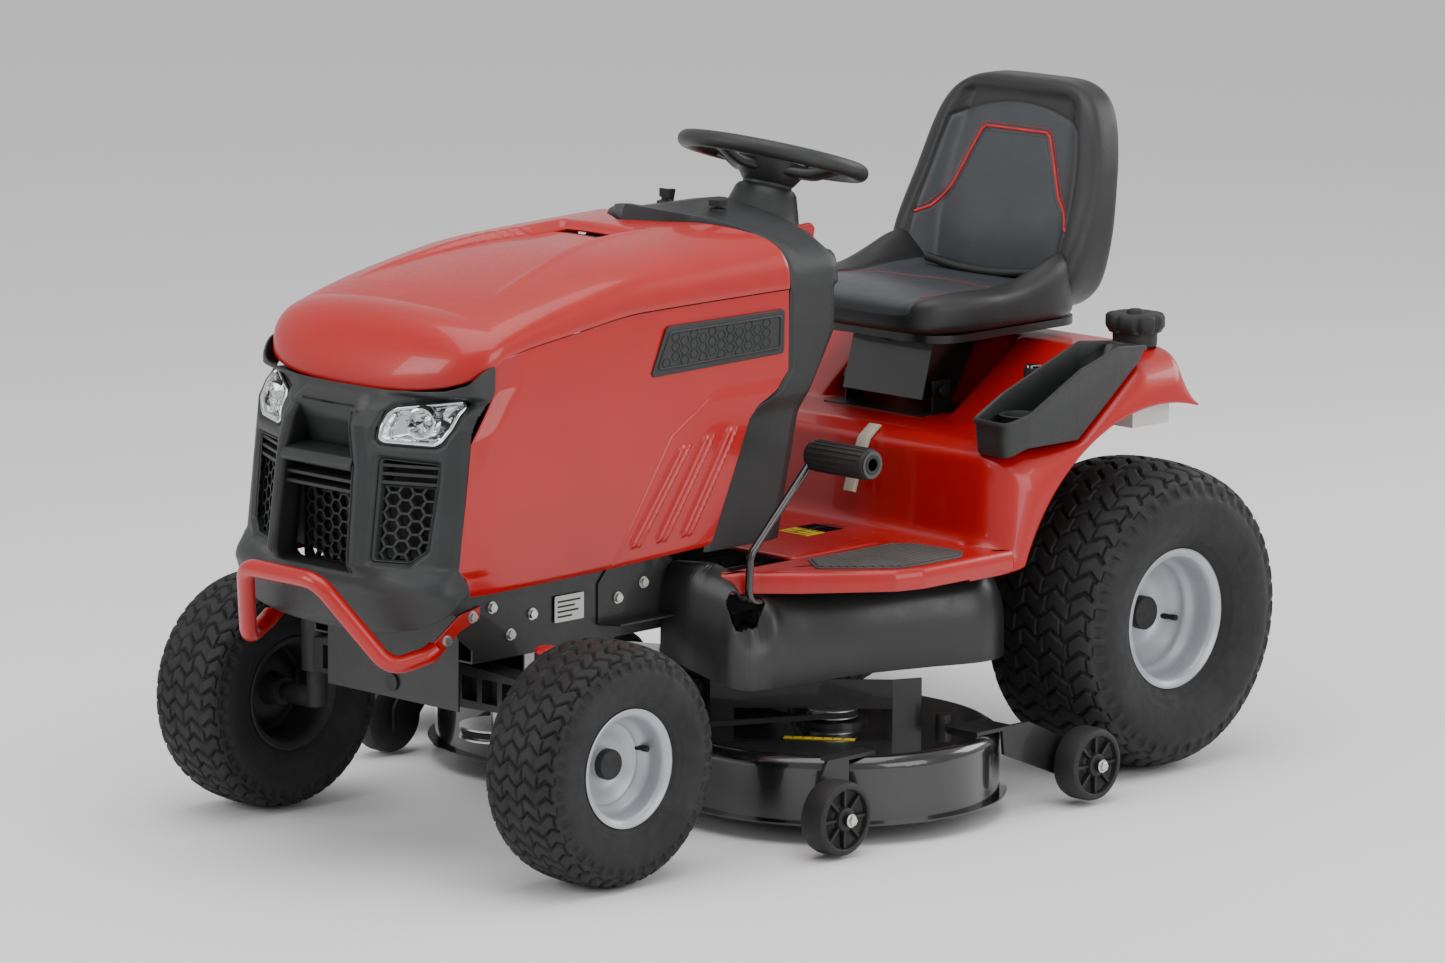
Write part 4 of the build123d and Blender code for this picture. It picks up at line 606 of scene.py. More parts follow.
def nose_sheet(name, a0, a1, z0f, z1f, na, nz, disp, mat="dark_plastic", keepf=None, thickness=4.0):
    P = np.zeros((na, nz, 3))
    A = np.zeros((na, nz))
    Z = np.zeros((na, nz))
    for i in range(na):
        for j in range(nz):
            a = a0 + (a1 - a0) * i / (na - 1)
            zb, zt = z0f(a), z1f(a)
            z = zb + (zt - zb) * j / (nz - 1)
            p = nose_pt(a, z)
            d = disp(p[0], z, a)
            # push along the plan normal
            q = nose_pt(a + 0.004, z)
            q2 = nose_pt(a - 0.004, z)
            t = np.array([q[0] - q2[0], q[1] - q2[1]])
            t /= np.linalg.norm(t) + 1e-9
            n = np.array([t[1], -t[0]])
            P[i, j] = (p[0] + n[0] * d, p[1] + n[1] * d, z)
            A[i, j], Z[i, j] = p[0], z
    keep = None
    if keepf is not None:
        cx = 0.25 * (A[:-1, :-1] + A[1:, 1:] + A[1:, :-1] + A[:-1, 1:])
        cz = 0.25 * (Z[:-1, :-1] + Z[1:, 1:] + Z[1:, :-1] + Z[:-1, 1:])
        keep = np.array([[keepf(cx[i, j], cz[i, j]) for j in range(nz - 1)] for i in range(na - 1)])
    o = grid(name, P, mat, keep=keep, flip=False, smooth=45)
    thick(o, thickness, -1.0)
    return o


def in_poly(x, y, poly):
    c = False
    n = len(poly)
    for i in range(n):
        x1, y1 = poly[i]
        x2, y2 = poly[(i + 1) % n]
        if (y1 > y) != (y2 > y) and x < (x2 - x1) * (y - y1) / (y2 - y1) + x1:
            c = not c
    return c


CEN = [(-84, 476), (84, 476), (79, 640), (66, 700), (58, 728), (-58, 728), (-66, 700), (-79, 640)]
SIDE_OP = [(116, 500), (172, 500), (196, 520), (202, 616), (202, 652), (116, 656)]
LAMP = [(107, 686), (111, 726), (119, 734), (212, 750), (222, 744), (218, 706), (206, 684), (196, 678), (115, 679)]


def rel(poly, x, z):
    """Signed distance to a polygon, negative inside."""
    d = 1e9
    n = len(poly)
    for i in range(n):
        a, b = np.array(poly[i], float), np.array(poly[(i + 1) % n], float)
        ab = b - a
        t = max(0, min(1, ((x - a[0]) * ab[0] + (z - a[1]) * ab[1]) / (ab @ ab)))
        q = a + ab * t
        d = min(d, math.hypot(x - q[0], z - q[1]))
    return -d if in_poly(x, z, poly) else d


def nose_disp(x, z, a):
    ax = abs(x)
    d = 0.0
    dc = rel(CEN, x, z)
    dsd = rel(SIDE_OP, ax, z)
    dl = rel(LAMP, ax, z)
    # flat inner surfaces step back towards every opening, so the pillars stand proud
    d -= 7.0 * (1 - float(sstep(0, 9, dsd)))
    d -= 6.0 * (1 - float(sstep(0, 8, dl)))
    d += 7.0 * float(sstep(0, 7, dc)) * (1 - float(sstep(10, 24, dc))) * float(sstep(470, 500, z))
    # chin bulges below the openings
    d += 9.0 * float(sstep(478, 455, z)) if False else 0.0
    d += 11.0 * float(1 - sstep(452, 480, z)) * (1 - float(sstep(0.75, 1.0, abs(a))))
    # brow under the hood lip
    d += 3.0 * float(sstep(738, 748, z))
    return d


def keep_nose(x, z):
    ax = abs(x)
    return not (in_poly(x, z, CEN) or in_poly(ax, z, SIDE_OP) or in_poly(ax, z, LAMP))


def nose_low(a):
    return 378 + 74 * abs(a) ** 2.0


def nose_top(a):
    # follows the hood lip, then the side panel notch
    return float(np.interp(abs(a), [0, 0.3, 0.6, 0.8, 0.92, 1.0], [757, 758, 764, 775, 792, 800]))


# the sheet's top rises at the sides, where it tucks under the hood
def nose_pt_top(a, z, out=0.0):
    return nose_pt(a, z, out)


shell = nose_sheet("nose_shell", -1, 1, nose_low, nose_top, 300, 190, nose_disp, keepf=keep_nose)
sm = shell.modifiers.new("soft", "SMOOTH")
sm.iterations = 2
bevel(shell, 1.2, 2, 45)
place(shell, "hood", "dark_plastic", "grille")


def wall_band(name, poly, side, d0, d1, mat="dark_plastic"):
    """Inner wall of an opening: runs back from the shell."""
    pts = []
    n = len(poly)
    loop = fillet([(p[0], p[1]) for p in poly], 5, closed=True, seg=3)
    dense = []
    for i in range(len(loop)):
        a, b = loop[i], loop[(i + 1) % len(loop)]
        m = max(1, int(np.linalg.norm(b - a) / 8))
        for k in range(m):
            dense.append(a + (b - a) * k / m)
    P = []
    for dd in np.linspace(d0, d1, 5):
        row = []
        for p in dense:
            x = p[0] * side
            a = math.asin(min(1, (abs(x) / 240)) ** (1 / 0.86)) / (math.pi / 2) * (1 if x >= 0 else -1)
            q = nose_pt(a, p[1])
            row.append((q[0], q[1] + dd, q[2]))
        P.append(row)
    o = grid(name, P, mat, closed_v=True, smooth=40)
    thick(o, 1.5, 0)
    return o


bands = [wall_band("w0", CEN, 1, -3, 46), wall_band("w1", SIDE_OP, 1, 5, 36), wall_band("w2", SIDE_OP, -1, 5, 36),
         wall_band("w3", LAMP, 1, 4, 40), wall_band("w4", LAMP, -1, 4, 40)]
# recess plate, bar and slot of the centre opening
top_plate = grid("tp", [[(x, y, z) for (y, z) in ((-846, 728), (-826, 700), (-812, 668), (-812, 650))] for x in np.linspace(-76, 76, 12)], "dark_plastic", flip=True)
thick(top_plate, 2)
bar = prism("bar", [(-866, 642), (-858, 654), (-812, 660), (-806, 640), (-812, 632), (-862, 634)], 158, "dark_plastic", origin=(-79, 0, 0), ex=(0, 1, 0), ey=(0, 0, 1), bev=3)
lip = prism("lip", [(-850, 612), (-850, 618), (-812, 620), (-812, 612)], 160, "dark_plastic", origin=(-80, 0, 0), ex=(0, 1, 0), ey=(0, 0, 1), bev=1.5)
lip2 = prism("lip2", [(-852, 597), (-852, 603), (-812, 604), (-812, 597)], 162, "dark_plastic", origin=(-81, 0, 0), ex=(0, 1, 0), ey=(0, 0, 1), bev=1.5)
bands += [top_plate, bar, lip, lip2]
for side in (1, -1):
    for z in (646, 633, 620):
        pts = []
        for x in np.linspace(116, 199, 8):
            a = math.asin(min(1, (x / 240)) ** (1 / 0.86)) / (math.pi / 2)
            q = nose_pt(a, z)
            pts.append((q[0] * side, q[1] + 9, z))
        P = [[(p[0], p[1], p[2] + 2.6), (p[0], p[1], p[2] - 2.6), (p[0], p[1] + 16, p[2] - 2.6), (p[0], p[1] + 16, p[2] + 2.6)] for p in pts]
        o = grid("s", P, "dark_plastic", closed_v=True, flip=side < 0)
        bevel(o, 0.8, 2)
        bands.append(o)
place(join("grille_frames", bands), "hood", "dark_plastic")


def hex_sheet(name, x0, x1, z0, z1, surf, cell=13.2, bar=1.7, deep=11, mat="dark_plastic"):
    """Hexagon mesh as a real grid of walls. surf(x, z) gives y."""
    parts_v, parts_f = [], []

    def wall(p, q):
        p, q = np.array(p), np.array(q)
        d = q - p
        L = np.linalg.norm(d)
        if L < 0.5:
            return
        d /= L
        nrm = np.array([-d[1], d[0]])
        k = len(parts_v)
        for e in (p, q):
            for s in (1, -1):
                w = e + nrm * bar * s
                y = surf(w[0], w[1])
                parts_v.append((w[0], y, w[1]))
                parts_v.append((w[0] - nrm[0] * s * bar * 0.35, y + deep, w[1] - nrm[1] * s * bar * 0.35))
        # order: p+front p+back p-front p-back q+front q+back q-front q-back
        for f in ((0, 2, 6, 4), (1, 5, 7, 3), (0, 4, 5, 1), (2, 3, 7, 6), (0, 1, 3, 2), (4, 6, 7, 5)):
            parts_f.append(tuple(k + i for i in f))
    dx, dz = cell * 1.5, cell * math.sqrt(3)
    done = set()
    for i in range(-1, int((x1 - x0) / dx) + 2):
        for j in range(-1, int((z1 - z0) / dz) + 2):
            cx, cz = x0 + i * dx, z0 + j * dz + (dz / 2 if i % 2 else 0)
            C = [(cx + cell * math.cos(math.radians(60 * k)), cz + cell * math.sin(math.radians(60 * k))) for k in range(6)]
            for k in range(6):
                p, q = C[k], C[(k + 1) % 6]
                key = (round((p[0] + q[0]) / 2, 0), round((p[1] + q[1]) / 2, 0))
                if key in done:
                    continue
                done.add(key)
                pc = (min(max(p[0], x0), x1), min(max(p[1], z0), z1))
                qc = (min(max(q[0], x0), x1), min(max(q[1], z0), z1))
                wall(pc, qc)
    return obj(name, parts_v, parts_f, mat, smooth=20)


mesh_parts = [hex_sheet("m0", -82, 82, 476, 600, lambda x, z: -812 + 0.00035 * x * x, cell=12.4)]


def side_surf(x, z):
    a = math.asin(min(1, (abs(x) / 240)) ** (1 / 0.86)) / (math.pi / 2)
    return nose_pt(a, z)[1] + 17


for side in (1, -1):
    m = hex_sheet("m1", 114 if side > 0 else -202, 202 if side > 0 else -114, 500, 614, side_surf, cell=12.0)
    mesh_parts.append(m)
place(join("grille_hex_mesh", mesh_parts), "hood", "dark_plastic", "grille_mesh")

# headlights: chrome bezel, reflector bowl, projector ring and clear lens
for side in (1, -1):
    def lp(x, z, back):
        a = math.asin(min(1, (abs(x) / 240)) ** (1 / 0.86)) / (math.pi / 2)
        q = nose_pt(a, z)
        return (q[0] * side, q[1] + back, z)
    loop = fillet([(112, 687), (116, 722), (124, 730), (210, 745), (217, 739), (213, 706), (202, 688), (193, 682), (120, 683)], 8, closed=True, seg=5)
    dense = []
    for i in range(len(loop)):
        a_, b_ = loop[i], loop[(i + 1) % len(loop)]
        m_ = max(1, int(np.linalg.norm(b_ - a_) / 6))
        for k_ in range(m_):
            dense.append(a_ + (b_ - a_) * k_ / m_)
    cxz = np.mean(dense, axis=0)
    ring = tube("bz", [lp(p[0], p[1], 5) for p in dense], 3.4, "chrome", n=10, closed=True)
    bowl = grid("bowl", [[lp(*(cxz + (p - cxz) * f), b) for p in dense] for f, b in ((1, 6), (0.93, 16), (0.80, 26), (0.5, 33), (0.2, 35), (0.02, 35))], "chrome", closed_v=True, smooth=60)
    inner = tube("ib", [lp(*(cxz + (p - cxz) * 0.80), 14) for p in dense], 1.6, "chrome", n=8, closed=True)
    lens = grid("headlight_lens_" + ("l" if side > 0 else "r"), [[lp(*(cxz + (p - cxz) * f), b) for p in dense] for f, b in ((0.99, 4.5), (0.9, 1.5), (0.7, 0), (0.4, -1), (0.02, -1.2))], "lens", closed_v=True, smooth=60)
    thick(lens, 1.2, -1)
    c0 = np.array(lp(163, 712, 20))
    nrm = np.array([0.42 * side, -1.0, 0.05])
    nrm /= np.linalg.norm(nrm)
    e1 = np.cross(nrm, (0, 0, 1.0))
    e1 /= np.linalg.norm(e1)
    e2 = np.cross(nrm, e1)
    ax = (e1, e2, nrm)
    pr = lathe("pr", [(0, 27), (14, 25), (17, 24), (17.5, 21.5), (14, 20.5), (4, 18), (0, 12), (-3, 0.1)], "chrome", axis=ax, centre=c0, n=48, smooth=35)
    pj = lathe("pj", [(3, 16.5), (9, 15.5), (13, 12), (15.5, 7), (16.5, 0.1)], "lens", axis=ax, centre=c0, n=40, smooth=60)
    bulb = lathe("bb", [(-3, 5), (8, 5), (10, 3.5), (11, 0.1)], "zinc", axis=ax, centre=c0, n=20, smooth=50)
    place(join("headlight_" + ("l" if side > 0 else "r"), [ring, bowl, inner, pr, bulb]), "hood", "lens", "headlights")
    place(lens, "hood", "lens")
    place(pj, "hood", "lens")
    pj.name = "headlight_projector_" + ("l" if side > 0 else "r")
# dark backing behind the grille
back = grid("radiator_screen", [[(x, -760 + 0.0009 * x * x, z) for z in np.linspace(470, 735, 8)] for x in np.linspace(-205, 205, 24)], "cast_black", smooth=60)
thick(back, 2)
place(back, "hood", "dark_plastic")


# ================================================================ wheels
def tri(x):
    return 2 * np.abs(2 * (x - np.floor(x + 0.5))) - 1


def tyre(name, body, cx, cy, r0, prof, rows, depth, node, lat, seed):
    """Turf tyre: zigzag blocks across a round tread, ribbed shoulders and ring lines on the sidewalls."""
    half = np.array(prof, float)
    full = np.vstack([half, (half[:-1] * [-1, 1])[::-1]])
    s = np.r_[0, np.cumsum(np.linalg.norm(np.diff(full, axis=0), axis=1))]
    n_p = int(s[-1] / 2.7)
    ss = np.linspace(0, s[-1], n_p)
    sm = path_smooth(full, n_p)
    H, R = sm[:, 0], sm[:, 1]
    t = np.gradient(sm, axis=0)
    t /= np.linalg.norm(t, axis=1)[:, None] + 1e-9
    nh, nr = t[:, 1], -t[:, 0]
    if nr[n_p // 2] < 0:
        nh, nr = -nh, -nr
    n_a = int(2 * math.pi * r0 / 2.45)
    th = np.linspace(0, 2 * math.pi, n_a, endpoint=False)
    TH, SS = np.meshgrid(th, (ss - s[-1] / 2), indexing="ij")
    RR = np.broadcast_to(R, TH.shape)
    q = SS / lat                                     # -1..1 over the tread
    band = 1 - sstep(0.93, 1.06, np.abs(q))
    ph = TH * rows / (2 * math.pi)
    zig = 0.30 * tri(q * 2.25 + 0.25)
    g1 = np.abs(((ph + zig) % 1.0) - 0.5) * 2        # 1 at groove centre
    cross = 1 - sstep(0.70, 0.84, g1)
    # narrow slits along the tread, stepping with every row
    k = np.floor(ph + zig)
    lanes = 5.5
    lane = np.abs((((q + 0.055 * ((k % 2) * 2 - 1)) * lanes / 2 + 0.5) % 1.0) - 0.5) * 2
    slit = 1 - 0.72 * sstep(0.86, 0.96, lane)
    h = depth * cross * slit * band
    # shoulder lugs run a little way down, long and short in turn
    sh = (np.abs(q) > 0.9)
    lug = (1 - sstep(0.30, 0.5, np.abs(((ph * 1.0 + 0.30) % 1.0) - 0.5) * 2)) * (1 - sstep(1.04, 1.18, np.abs(q)))
    h = np.where(sh, np.maximum(h, depth * 0.8 * lug), h)
    # sidewall rings
    rel_r = RR - (half[0][1])
    for rr_, hh_, ww_ in ((0.20, 0.9, 2.0), (0.30, 0.6, 1.6), (0.66, 0.8, 1.8)):
        rc = half[0][1] + (r0 - half[0][1]) * rr_
        h = h + hh_ * np.exp(-((RR - rc) / ww_) ** 2) * (np.abs(q) > 1.1)
    d = h - depth * (1 - sstep(1.0, 1.25, np.abs(q)))
    HH = H[None, :] + nh[None, :] * d
    R2 = R[None, :] + nr[None, :] * d
    P = np.zeros(TH.shape + (3,))
    P[..., 0] = cx + HH
    P[..., 1] = cy + R2 * np.cos(TH)
    P[..., 2] = r0 + R2 * np.sin(TH)
    o = grid(name, P, "tyre", closed_u=True, flip=False, smooth=38)
    # moulding hairs
    rg = random.Random(seed)
    V, F = [], []
    for i in range(170):
        a = rg.random() * 2 * math.pi
        sd = 1 if rg.random() < 0.5 else -1
        j = int(n_p / 2 + sd * (lat * rg.uniform(0.80, 1.12)) / (s[-1] / n_p))
        j = min(max(j, 2), n_p - 3)
        b = np.array([cx + H[j], cy + R[j] * math.cos(a), r0 + R[j] * math.sin(a)])
        nn = np.array([nh[j], nr[j] * math.cos(a), nr[j] * math.sin(a)])
        nn += np.array([rg.uniform(-.5, .5) for _ in range(3)])
        nn /= np.linalg.norm(nn)
        e1 = np.cross(nn, (0.3, 0.5, 0.8))
        e1 /= np.linalg.norm(e1)
        e2 = np.cross(nn, e1)
        L = rg.uniform(3, 6.5)
        k0 = len(V)
        V += [b + e1 * 0.45, b - e1 * 0.25 + e2 * 0.4, b - e1 * 0.25 - e2 * 0.4, b + nn * L]
        F += [(k0, k0 + 1, k0 + 3), (k0 + 1, k0 + 2, k0 + 3), (k0 + 2, k0, k0 + 3)]
    hair = obj(name + "_hairs", V, F, "tyre", smooth=0)
    place(o, body, "tyre", node)
    place(hair, body, "tyre")
    return o


FT = [(56.5, 80), (60, 85), (60.8, 92), (65, 99), (70.5, 112), (75, 128), (77, 142), (76.2, 156), (73.5, 168), (67.5, 178), (60, 183), (48, 186.8), (33, 189), (17, 190.2), (0, 190.5)]
RT = [(88, 103), (91.8, 108), (92.5, 115), (100, 123), (112, 138), (121, 157), (126, 178), (125.5, 197), (121, 215), (113, 231), (103, 240), (86, 247), (62, 252.4), (32, 256), (0, 257)]


def rim(name, body, side, cx, cy, r0, outer, inner, cap_r, cap_a, cap_b, node, valve):
    prof = outer + inner
    o = lathe(name, [(h * side, r) for h, r in prof], "rim_silver", centre=(cx, cy, r0), n=128, smooth=32, flip=side < 0)
    o.data.materials.append(M["cast_black"])
    # painted shade: the rim's inner side gets the dark cast finish to stand for the shadow that falls inside the wheel
    # dish
    npr = len(prof) - 1
    for p_ in o.data.polygons:
        if p_.index // 128 >= len(outer) - 1:
            p_.material_index = 1
    parts = [o]
    # push-on cap with a hexagon-like moulded face
    cap = lathe("cap", [(cap_a * side, cap_r), ((cap_b - 3) * side, cap_r), ((cap_b - 1) * side, cap_r - 1.2), (cap_b * side, cap_r - 3.5), ((cap_b - 1.2) * side, cap_r * 0.45), ((cap_b - 1.2) * side, 0.1)],
                "rubber", centre=(cx, cy, r0), n=48, smooth=35, flip=side < 0)
    vr, va = valve
    vy, vz = cy + vr * math.cos(va), r0 + vr * math.sin(va)
    vx = cx
    v1 = tube("valve", [(vx + side * -2, vy, vz), (vx + side * 10, vy, vz), (vx + side * 22, vy + 2, vz), (vx + side * 30, vy + 3, vz)], [7, 5.5, 4, 4], "rubber", n=14)
    v2 = tube("vcap", [(vx + side * 26, vy + 2.6, vz), (vx + side * 36, vy + 3.5, vz)], 5, "rubber", n=10)
    full = join(name, [o, cap, v1, v2])
    return place(full, body, "rim_silver", node)


F_OUT = [(60.2, 84), (60.8, 91), (62, 93), (64, 93.2), (64.8, 91), (63.2, 88), (60.8, 83.5), (57.5, 80.2), (53, 78.6), (40, 77.8), (33, 77.2), (28, 75), (24, 71), (20.5, 66.5), (17.5, 64), (15.5, 63),
         (13.5, 59), (9, 51), (4, 45), (1, 40), (-1, 34), (-1.5, 27), (1, 24), (6, 22.8), (12, 22.4), (12.5, 12)]
F_IN = [(-42, 12), (-42, 22), (-38, 24), (-14, 25), (-9, 28), (-9.5, 40), (-6, 50), (2, 58), (8, 65), (10, 70), (6, 73.5), (-20, 75), (-48, 76.8), (-56, 79.5), (-60, 83.5), (-62.5, 88), (-64, 91), (-63, 93.2), (-61, 92.5), (-60.2, 84)]
R_OUT = [(92.2, 105), (93, 114), (94.4, 117), (96.5, 117.2), (97.4, 114.5), (95.8, 111), (92.5, 106), (88.5, 102.6), (83, 101), (62, 100.2), (54, 99), (48, 95.5), (44, 91), (40, 88.5), (36, 87.5),
         (31, 86.5), (24, 80), (14, 72), (6, 64), (2, 56), (-1, 44), (-2, 33), (0, 29), (8, 27.2), (18, 26.6), (18.3, 12)]
R_IN = [(-62, 12), (-62, 26), (-58, 28), (-16, 30), (-11, 34), (-10, 50), (-4, 64), (6, 76), (16, 86), (20, 92), (16, 96), (-30, 98.4), (-82, 99.6), (-88.5, 102.6), (-92.5, 106), (-95.8, 111), (-97.4, 114.5), (-96, 117), (-93, 115), (-92.2, 105)]
for side, b, n in ((1, "wheel_fl", "left"), (-1, "wheel_fr", "right")):
    tyre("front_tread_" + n, b, side * 380, -620, 190.5, FT, 44, 5.0, "front_tyre_" + n, 84, 3 + side)
    rim("front_wheel_rim_" + n, b, side, side * 380, -620, 190.5, F_OUT, F_IN, 24, 12, 26, "front_rim_" + n, (66, 0.25))
for side, b, n in ((1, "wheel_rl", "left"), (-1, "wheel_rr", "right")):
    tyre("rear_tread_" + n, b, side * 385, 620, 257, RT, 46, 6.5, "rear_tyre_" + n, 126, 8 + side)
    rim("rear_wheel_rim_" + n, b, side, side * 385, 620, 257, R_OUT, R_IN, 28, 18, 35, "rear_rim_" + n, (72, -0.25))
    shaft = tube("half_shaft_" + n, [(side * 120, 620, 257), (side * 330, 620, 257)], 10, "steel", n=24)
    place(shaft, b, "steel")

# ================================================================ bumper
BP = [(186, -786, 362), (184, -800, 354), (162, -856, 338), (82, -934, 474), (-82, -934, 474), (-162, -856, 338), (-184, -800, 354), (-186, -786, 362)]
bp = fillet(BP, [0, 30, 46, 46, 46, 46, 30, 0], seg=14)
bar_o = tube("bumper_tube", bp, 14, "red_paint", n=28)
parts = [bar_o]
for side in (1, -1):
    poly = [(-806, 342), (-812, 356), (-735, 408), (-690, 417), (-690, 397), (-735, 381), (-785, 341)]
    q = [(p[0] * side, p[1]) for p in poly]
    parts.append(prism("bk", q, 3.6, "red_paint", origin=(side * 183.6, 0, 0), ex=(0, side, 0), ey=(0, 0, 1), bev=1.2))
place(join("bumper_bar", parts), "chassis", "red_paint", "bumper")

# ================================================================ dash console
DZF = ([446, 463, 649, 669, 690, 719, 858], [-235, -230, -148, -128, -81, -57, -55])
DZR = ([446, 640, 690, 773, 845, 858], [-60, -20, 0, 50, 50, 58])


def dash_grid():
    us = []
    for z in np.linspace(446, 846, 60):
        us.append((240.0, z, "s"))
    arc = path_smooth([(240, 852), (233, 884), (205, 914), (150, 936), (80, 957), (0, 971)], 46)
    for x, z in arc:
        us.append((x, z, "t"))
    rows = []
    nv = 44
    for x, z, kind in us:
        row = []
        for j in range(nv):
            v = (j / (nv - 1)) ** 1.35
            if kind == "s":
                yf, yr = float(np.interp(z, *DZF)), float(np.interp(z, *DZR))
                inset = 13.0 * (1 - float(sstep(645, 692, z)))
            else:
                yf = float(np.interp(x, [0, 60, 100, 160, 205, 240], [-199, -163, -119, -81, -59, -55]))
                yr = float(np.interp(x, [0, 150, 205, 240], [92, 88, 72, 55]))
                inset = 0
            y = yf + (yr - yf) * v
            xx, zz = x - inset, z
            if kind == "t":
                # raised front lip, shallow saddle and a fall towards the rear edge
                k = float(1 - sstep(190, 236, x))
                zz += k * (5.0 - 8.0 * float(sstep(16, 44, y - yf))) - 26 * k * (1 - float(sstep(0, 7, y - yf)))
                zz -= 20 * float(sstep(0.72, 1.0, v)) ** 1.5 * k
            xx -= 6.0 * float(1 - sstep(0, 10, y - yf)) * (0.4 if kind == "t" else 0.7)
            xx -= 8.0 * float(sstep(0.86, 1.0, v)) * (1 if kind == "s" else 0.5)
            row.append((xx, y, zz))
        rows.append(row)
    return rows


rows = dash_grid()
full_rows = rows + [[(-p[0], p[1], p[2]) for p in r] for r in rows[:-1][::-1]]
dsh = grid("dash_shell", full_rows, "dark_plastic", smooth=50, flip=True)
thick(dsh, 4, -1)
bevel(dsh, 1.5, 3, 45)
# rear closing panel spans between the two rear edges
edge = [r[-1] for r in rows]
RP = []
for (x, y, z) in edge:
    RP.append([(x * t, y + (14 * (1 - t * t)), z if abs(t) > 0.999 else z) for t in np.linspace(1, -1, 41)])
rear_panel = grid("rp", RP[18:], "dark_plastic", smooth=50)
thick(rear_panel, 3, 0)
ST, CT = math.sin(math.radians(16)), math.cos(math.radians(16))
WC = np.array([0, 150.0, 1022.0])
AX = (np.array([1.0, 0, 0]), np.array([0, CT, -ST]), np.array([0, ST, CT]))


def colp(z):
    return (0, 150 + (z - 1022) * ST / CT, z)


cowl = lathe("cowl", [(0, 96), (6, 84), (20, 71), (60, 61), (82, 54), (92, 51), (98, 46), (100, 41), (118, 40), (120, 38), (120, 16)], "dark_plastic", axis=AX, centre=colp(878), n=72, smooth=35)
knob_seat = [lathe("ks", [(0, 14), (5, 13), (6, 11), (6, 7)], "rubber", axis="z", centre=(x, -40, z), n=32, smooth=35) for x, z in ((-60, 955), (60, 955))]
slotb = prism("sb", fillet([(92, 20), (124, 20), (124, 140), (92, 140)], 8, closed=True), 2.4, "rubber", origin=(0, -20, 930), ex=(1, 0, 0), ey=(0, 1, 0), bev=0.8)
bpy.data.objects.remove(slotb, do_unlink=True)
place(join("dash_console_shell", [dsh, rear_panel, cowl] + knob_seat), "chassis", "dark_plastic", "dash_console")


# ================================================================ steering wheel
def wl(a, b, c):
    return WC + AX[0] * a + AX[1] * b + AX[2] * c


rimp = [wl(145 * math.cos(t), 145 * math.sin(t), 0) for t in np.linspace(0, 2 * math.pi, 120, endpoint=False)]
wr = tube("sw_rim", rimp, 14, "dark_plastic", n=28, closed=True)
hub = lathe("sw_hub", [(-48, 36), (-44, 43), (-34, 50), (-20, 58), (-8, 60), (-2, 56), (0, 48), (-1, 20), (-1, 0.1)], "dark_plastic", axis=AX, centre=WC, n=64, smooth=40)
parts = [wr, hub]
for ang, w0, w1 in ((12, 66, 34), (168, 66, 34), (270, 40, 24)):
    ca, sa = math.cos(math.radians(ang)), math.sin(math.radians(ang))
    G = []
    for r_ in np.linspace(34, 140, 18):
        k_ = (r_ - 34) / 106
        w_ = w0 + (w1 - w0) * float(sstep(0, 0.7, k_)) + 14 * float(sstep(0.86, 1, k_))
        c_ = -22 + 18 * float(sstep(0.35, 1.0, k_))
        th_ = 9 - 2 * k_
        ring_ = []
        for t_ in np.linspace(0, 2 * math.pi, 24, endpoint=False):
            cc, s_ = math.cos(t_), math.sin(t_)
            px_ = (abs(cc) ** 0.6) * (1 if cc >= 0 else -1) * w_ / 2
            pz_ = (abs(s_) ** 0.6) * (1 if s_ >= 0 else -1) * th_
            ring_.append(wl(r_ * ca - px_ * sa, r_ * sa + px_ * ca, c_ + pz_))
        G.append(ring_)
    parts.append(grid("sp", G, "dark_plastic", closed_v=True, smooth=50))
cov = fillet([(-50, -34), (50, -34), (58, 26), (38, 44), (-38, 44), (-58, 26)], 12, closed=True, seg=5)
V, F = [], []
NC = len(cov)
for f_, c_ in ((1.0, -6), (1.0, 6), (0.94, 13), (0.80, 17), (0.4, 18.5), (0.02, 19)):
    for p in cov:
        V.append(wl(p[0] * f_, p[1] * f_ + 3, c_))
G = np.array(V).reshape(6, NC, 3)
parts.append(grid("cv", G, "dark_plastic", closed_v=True, smooth=40))
parts.append(lathe("shaft", [(-590, 9.5), (-44, 9.5)], "steel", axis=AX, centre=WC, n=24))
place(join("steering_wheel_assembly", parts), "steering", "dark_plastic", "steering_wheel")

# ================================================================ red lever on the dash
lv = prism("paddle", fillet([(52, 860), (66, 852), (92, 862), (126, 900), (130, 918), (122, 927), (92, 925), (84, 912), (84, 884)], 5, closed=True), 12, "red_plastic", origin=(104, 0, 0), ex=(0, 1, 0), ey=(0, 0, 1), bev=2.5)
parts = [lv]
for k_ in range(5):
    parts.append(tube("rb", [(103, 94 + k_ * 6.5, 888 + k_ * 3), (103, 95 + k_ * 6.5, 918)], 1.7, "red_plastic", n=8))
parts.append(tube("arm", [(110, 60, 806), (110, 62, 840), (110, 68, 868)], 5, "steel", n=12))
place(join("cruise_paddle", parts), "cruise", "red_plastic", "cruise_lever")


# ================================================================ fender moulding
def fender_profile():
    """(y, z, arch y, arch z) from the rear edge of the floor up the front wall, over the platform, to the tail."""
    side = fillet([(150, 414), (240, 414), (262, 556), (300, 574), (424, 574), (520, 641), (598, 691), (702, 693), (716, 606)], [0, 34, 22, 30, 40, 40, 40, 14, 0], seg=10)
    flat = fillet([(150, 414), (240, 414), (262, 556), (300, 574), (424, 574), (548, 574), (602, 691), (702, 693), (716, 606)], [0, 34, 22, 30, 40, 22, 30, 14, 0], seg=10)
    return np.array(side), np.array(flat)


def resample(p, n):
    s = np.r_[0, np.cumsum(np.linalg.norm(np.diff(p, axis=0), axis=1))]
    return np.stack([np.interp(np.linspace(0, s[-1], n), s, p[:, k]) for k in range(p.shape[1])], 1)


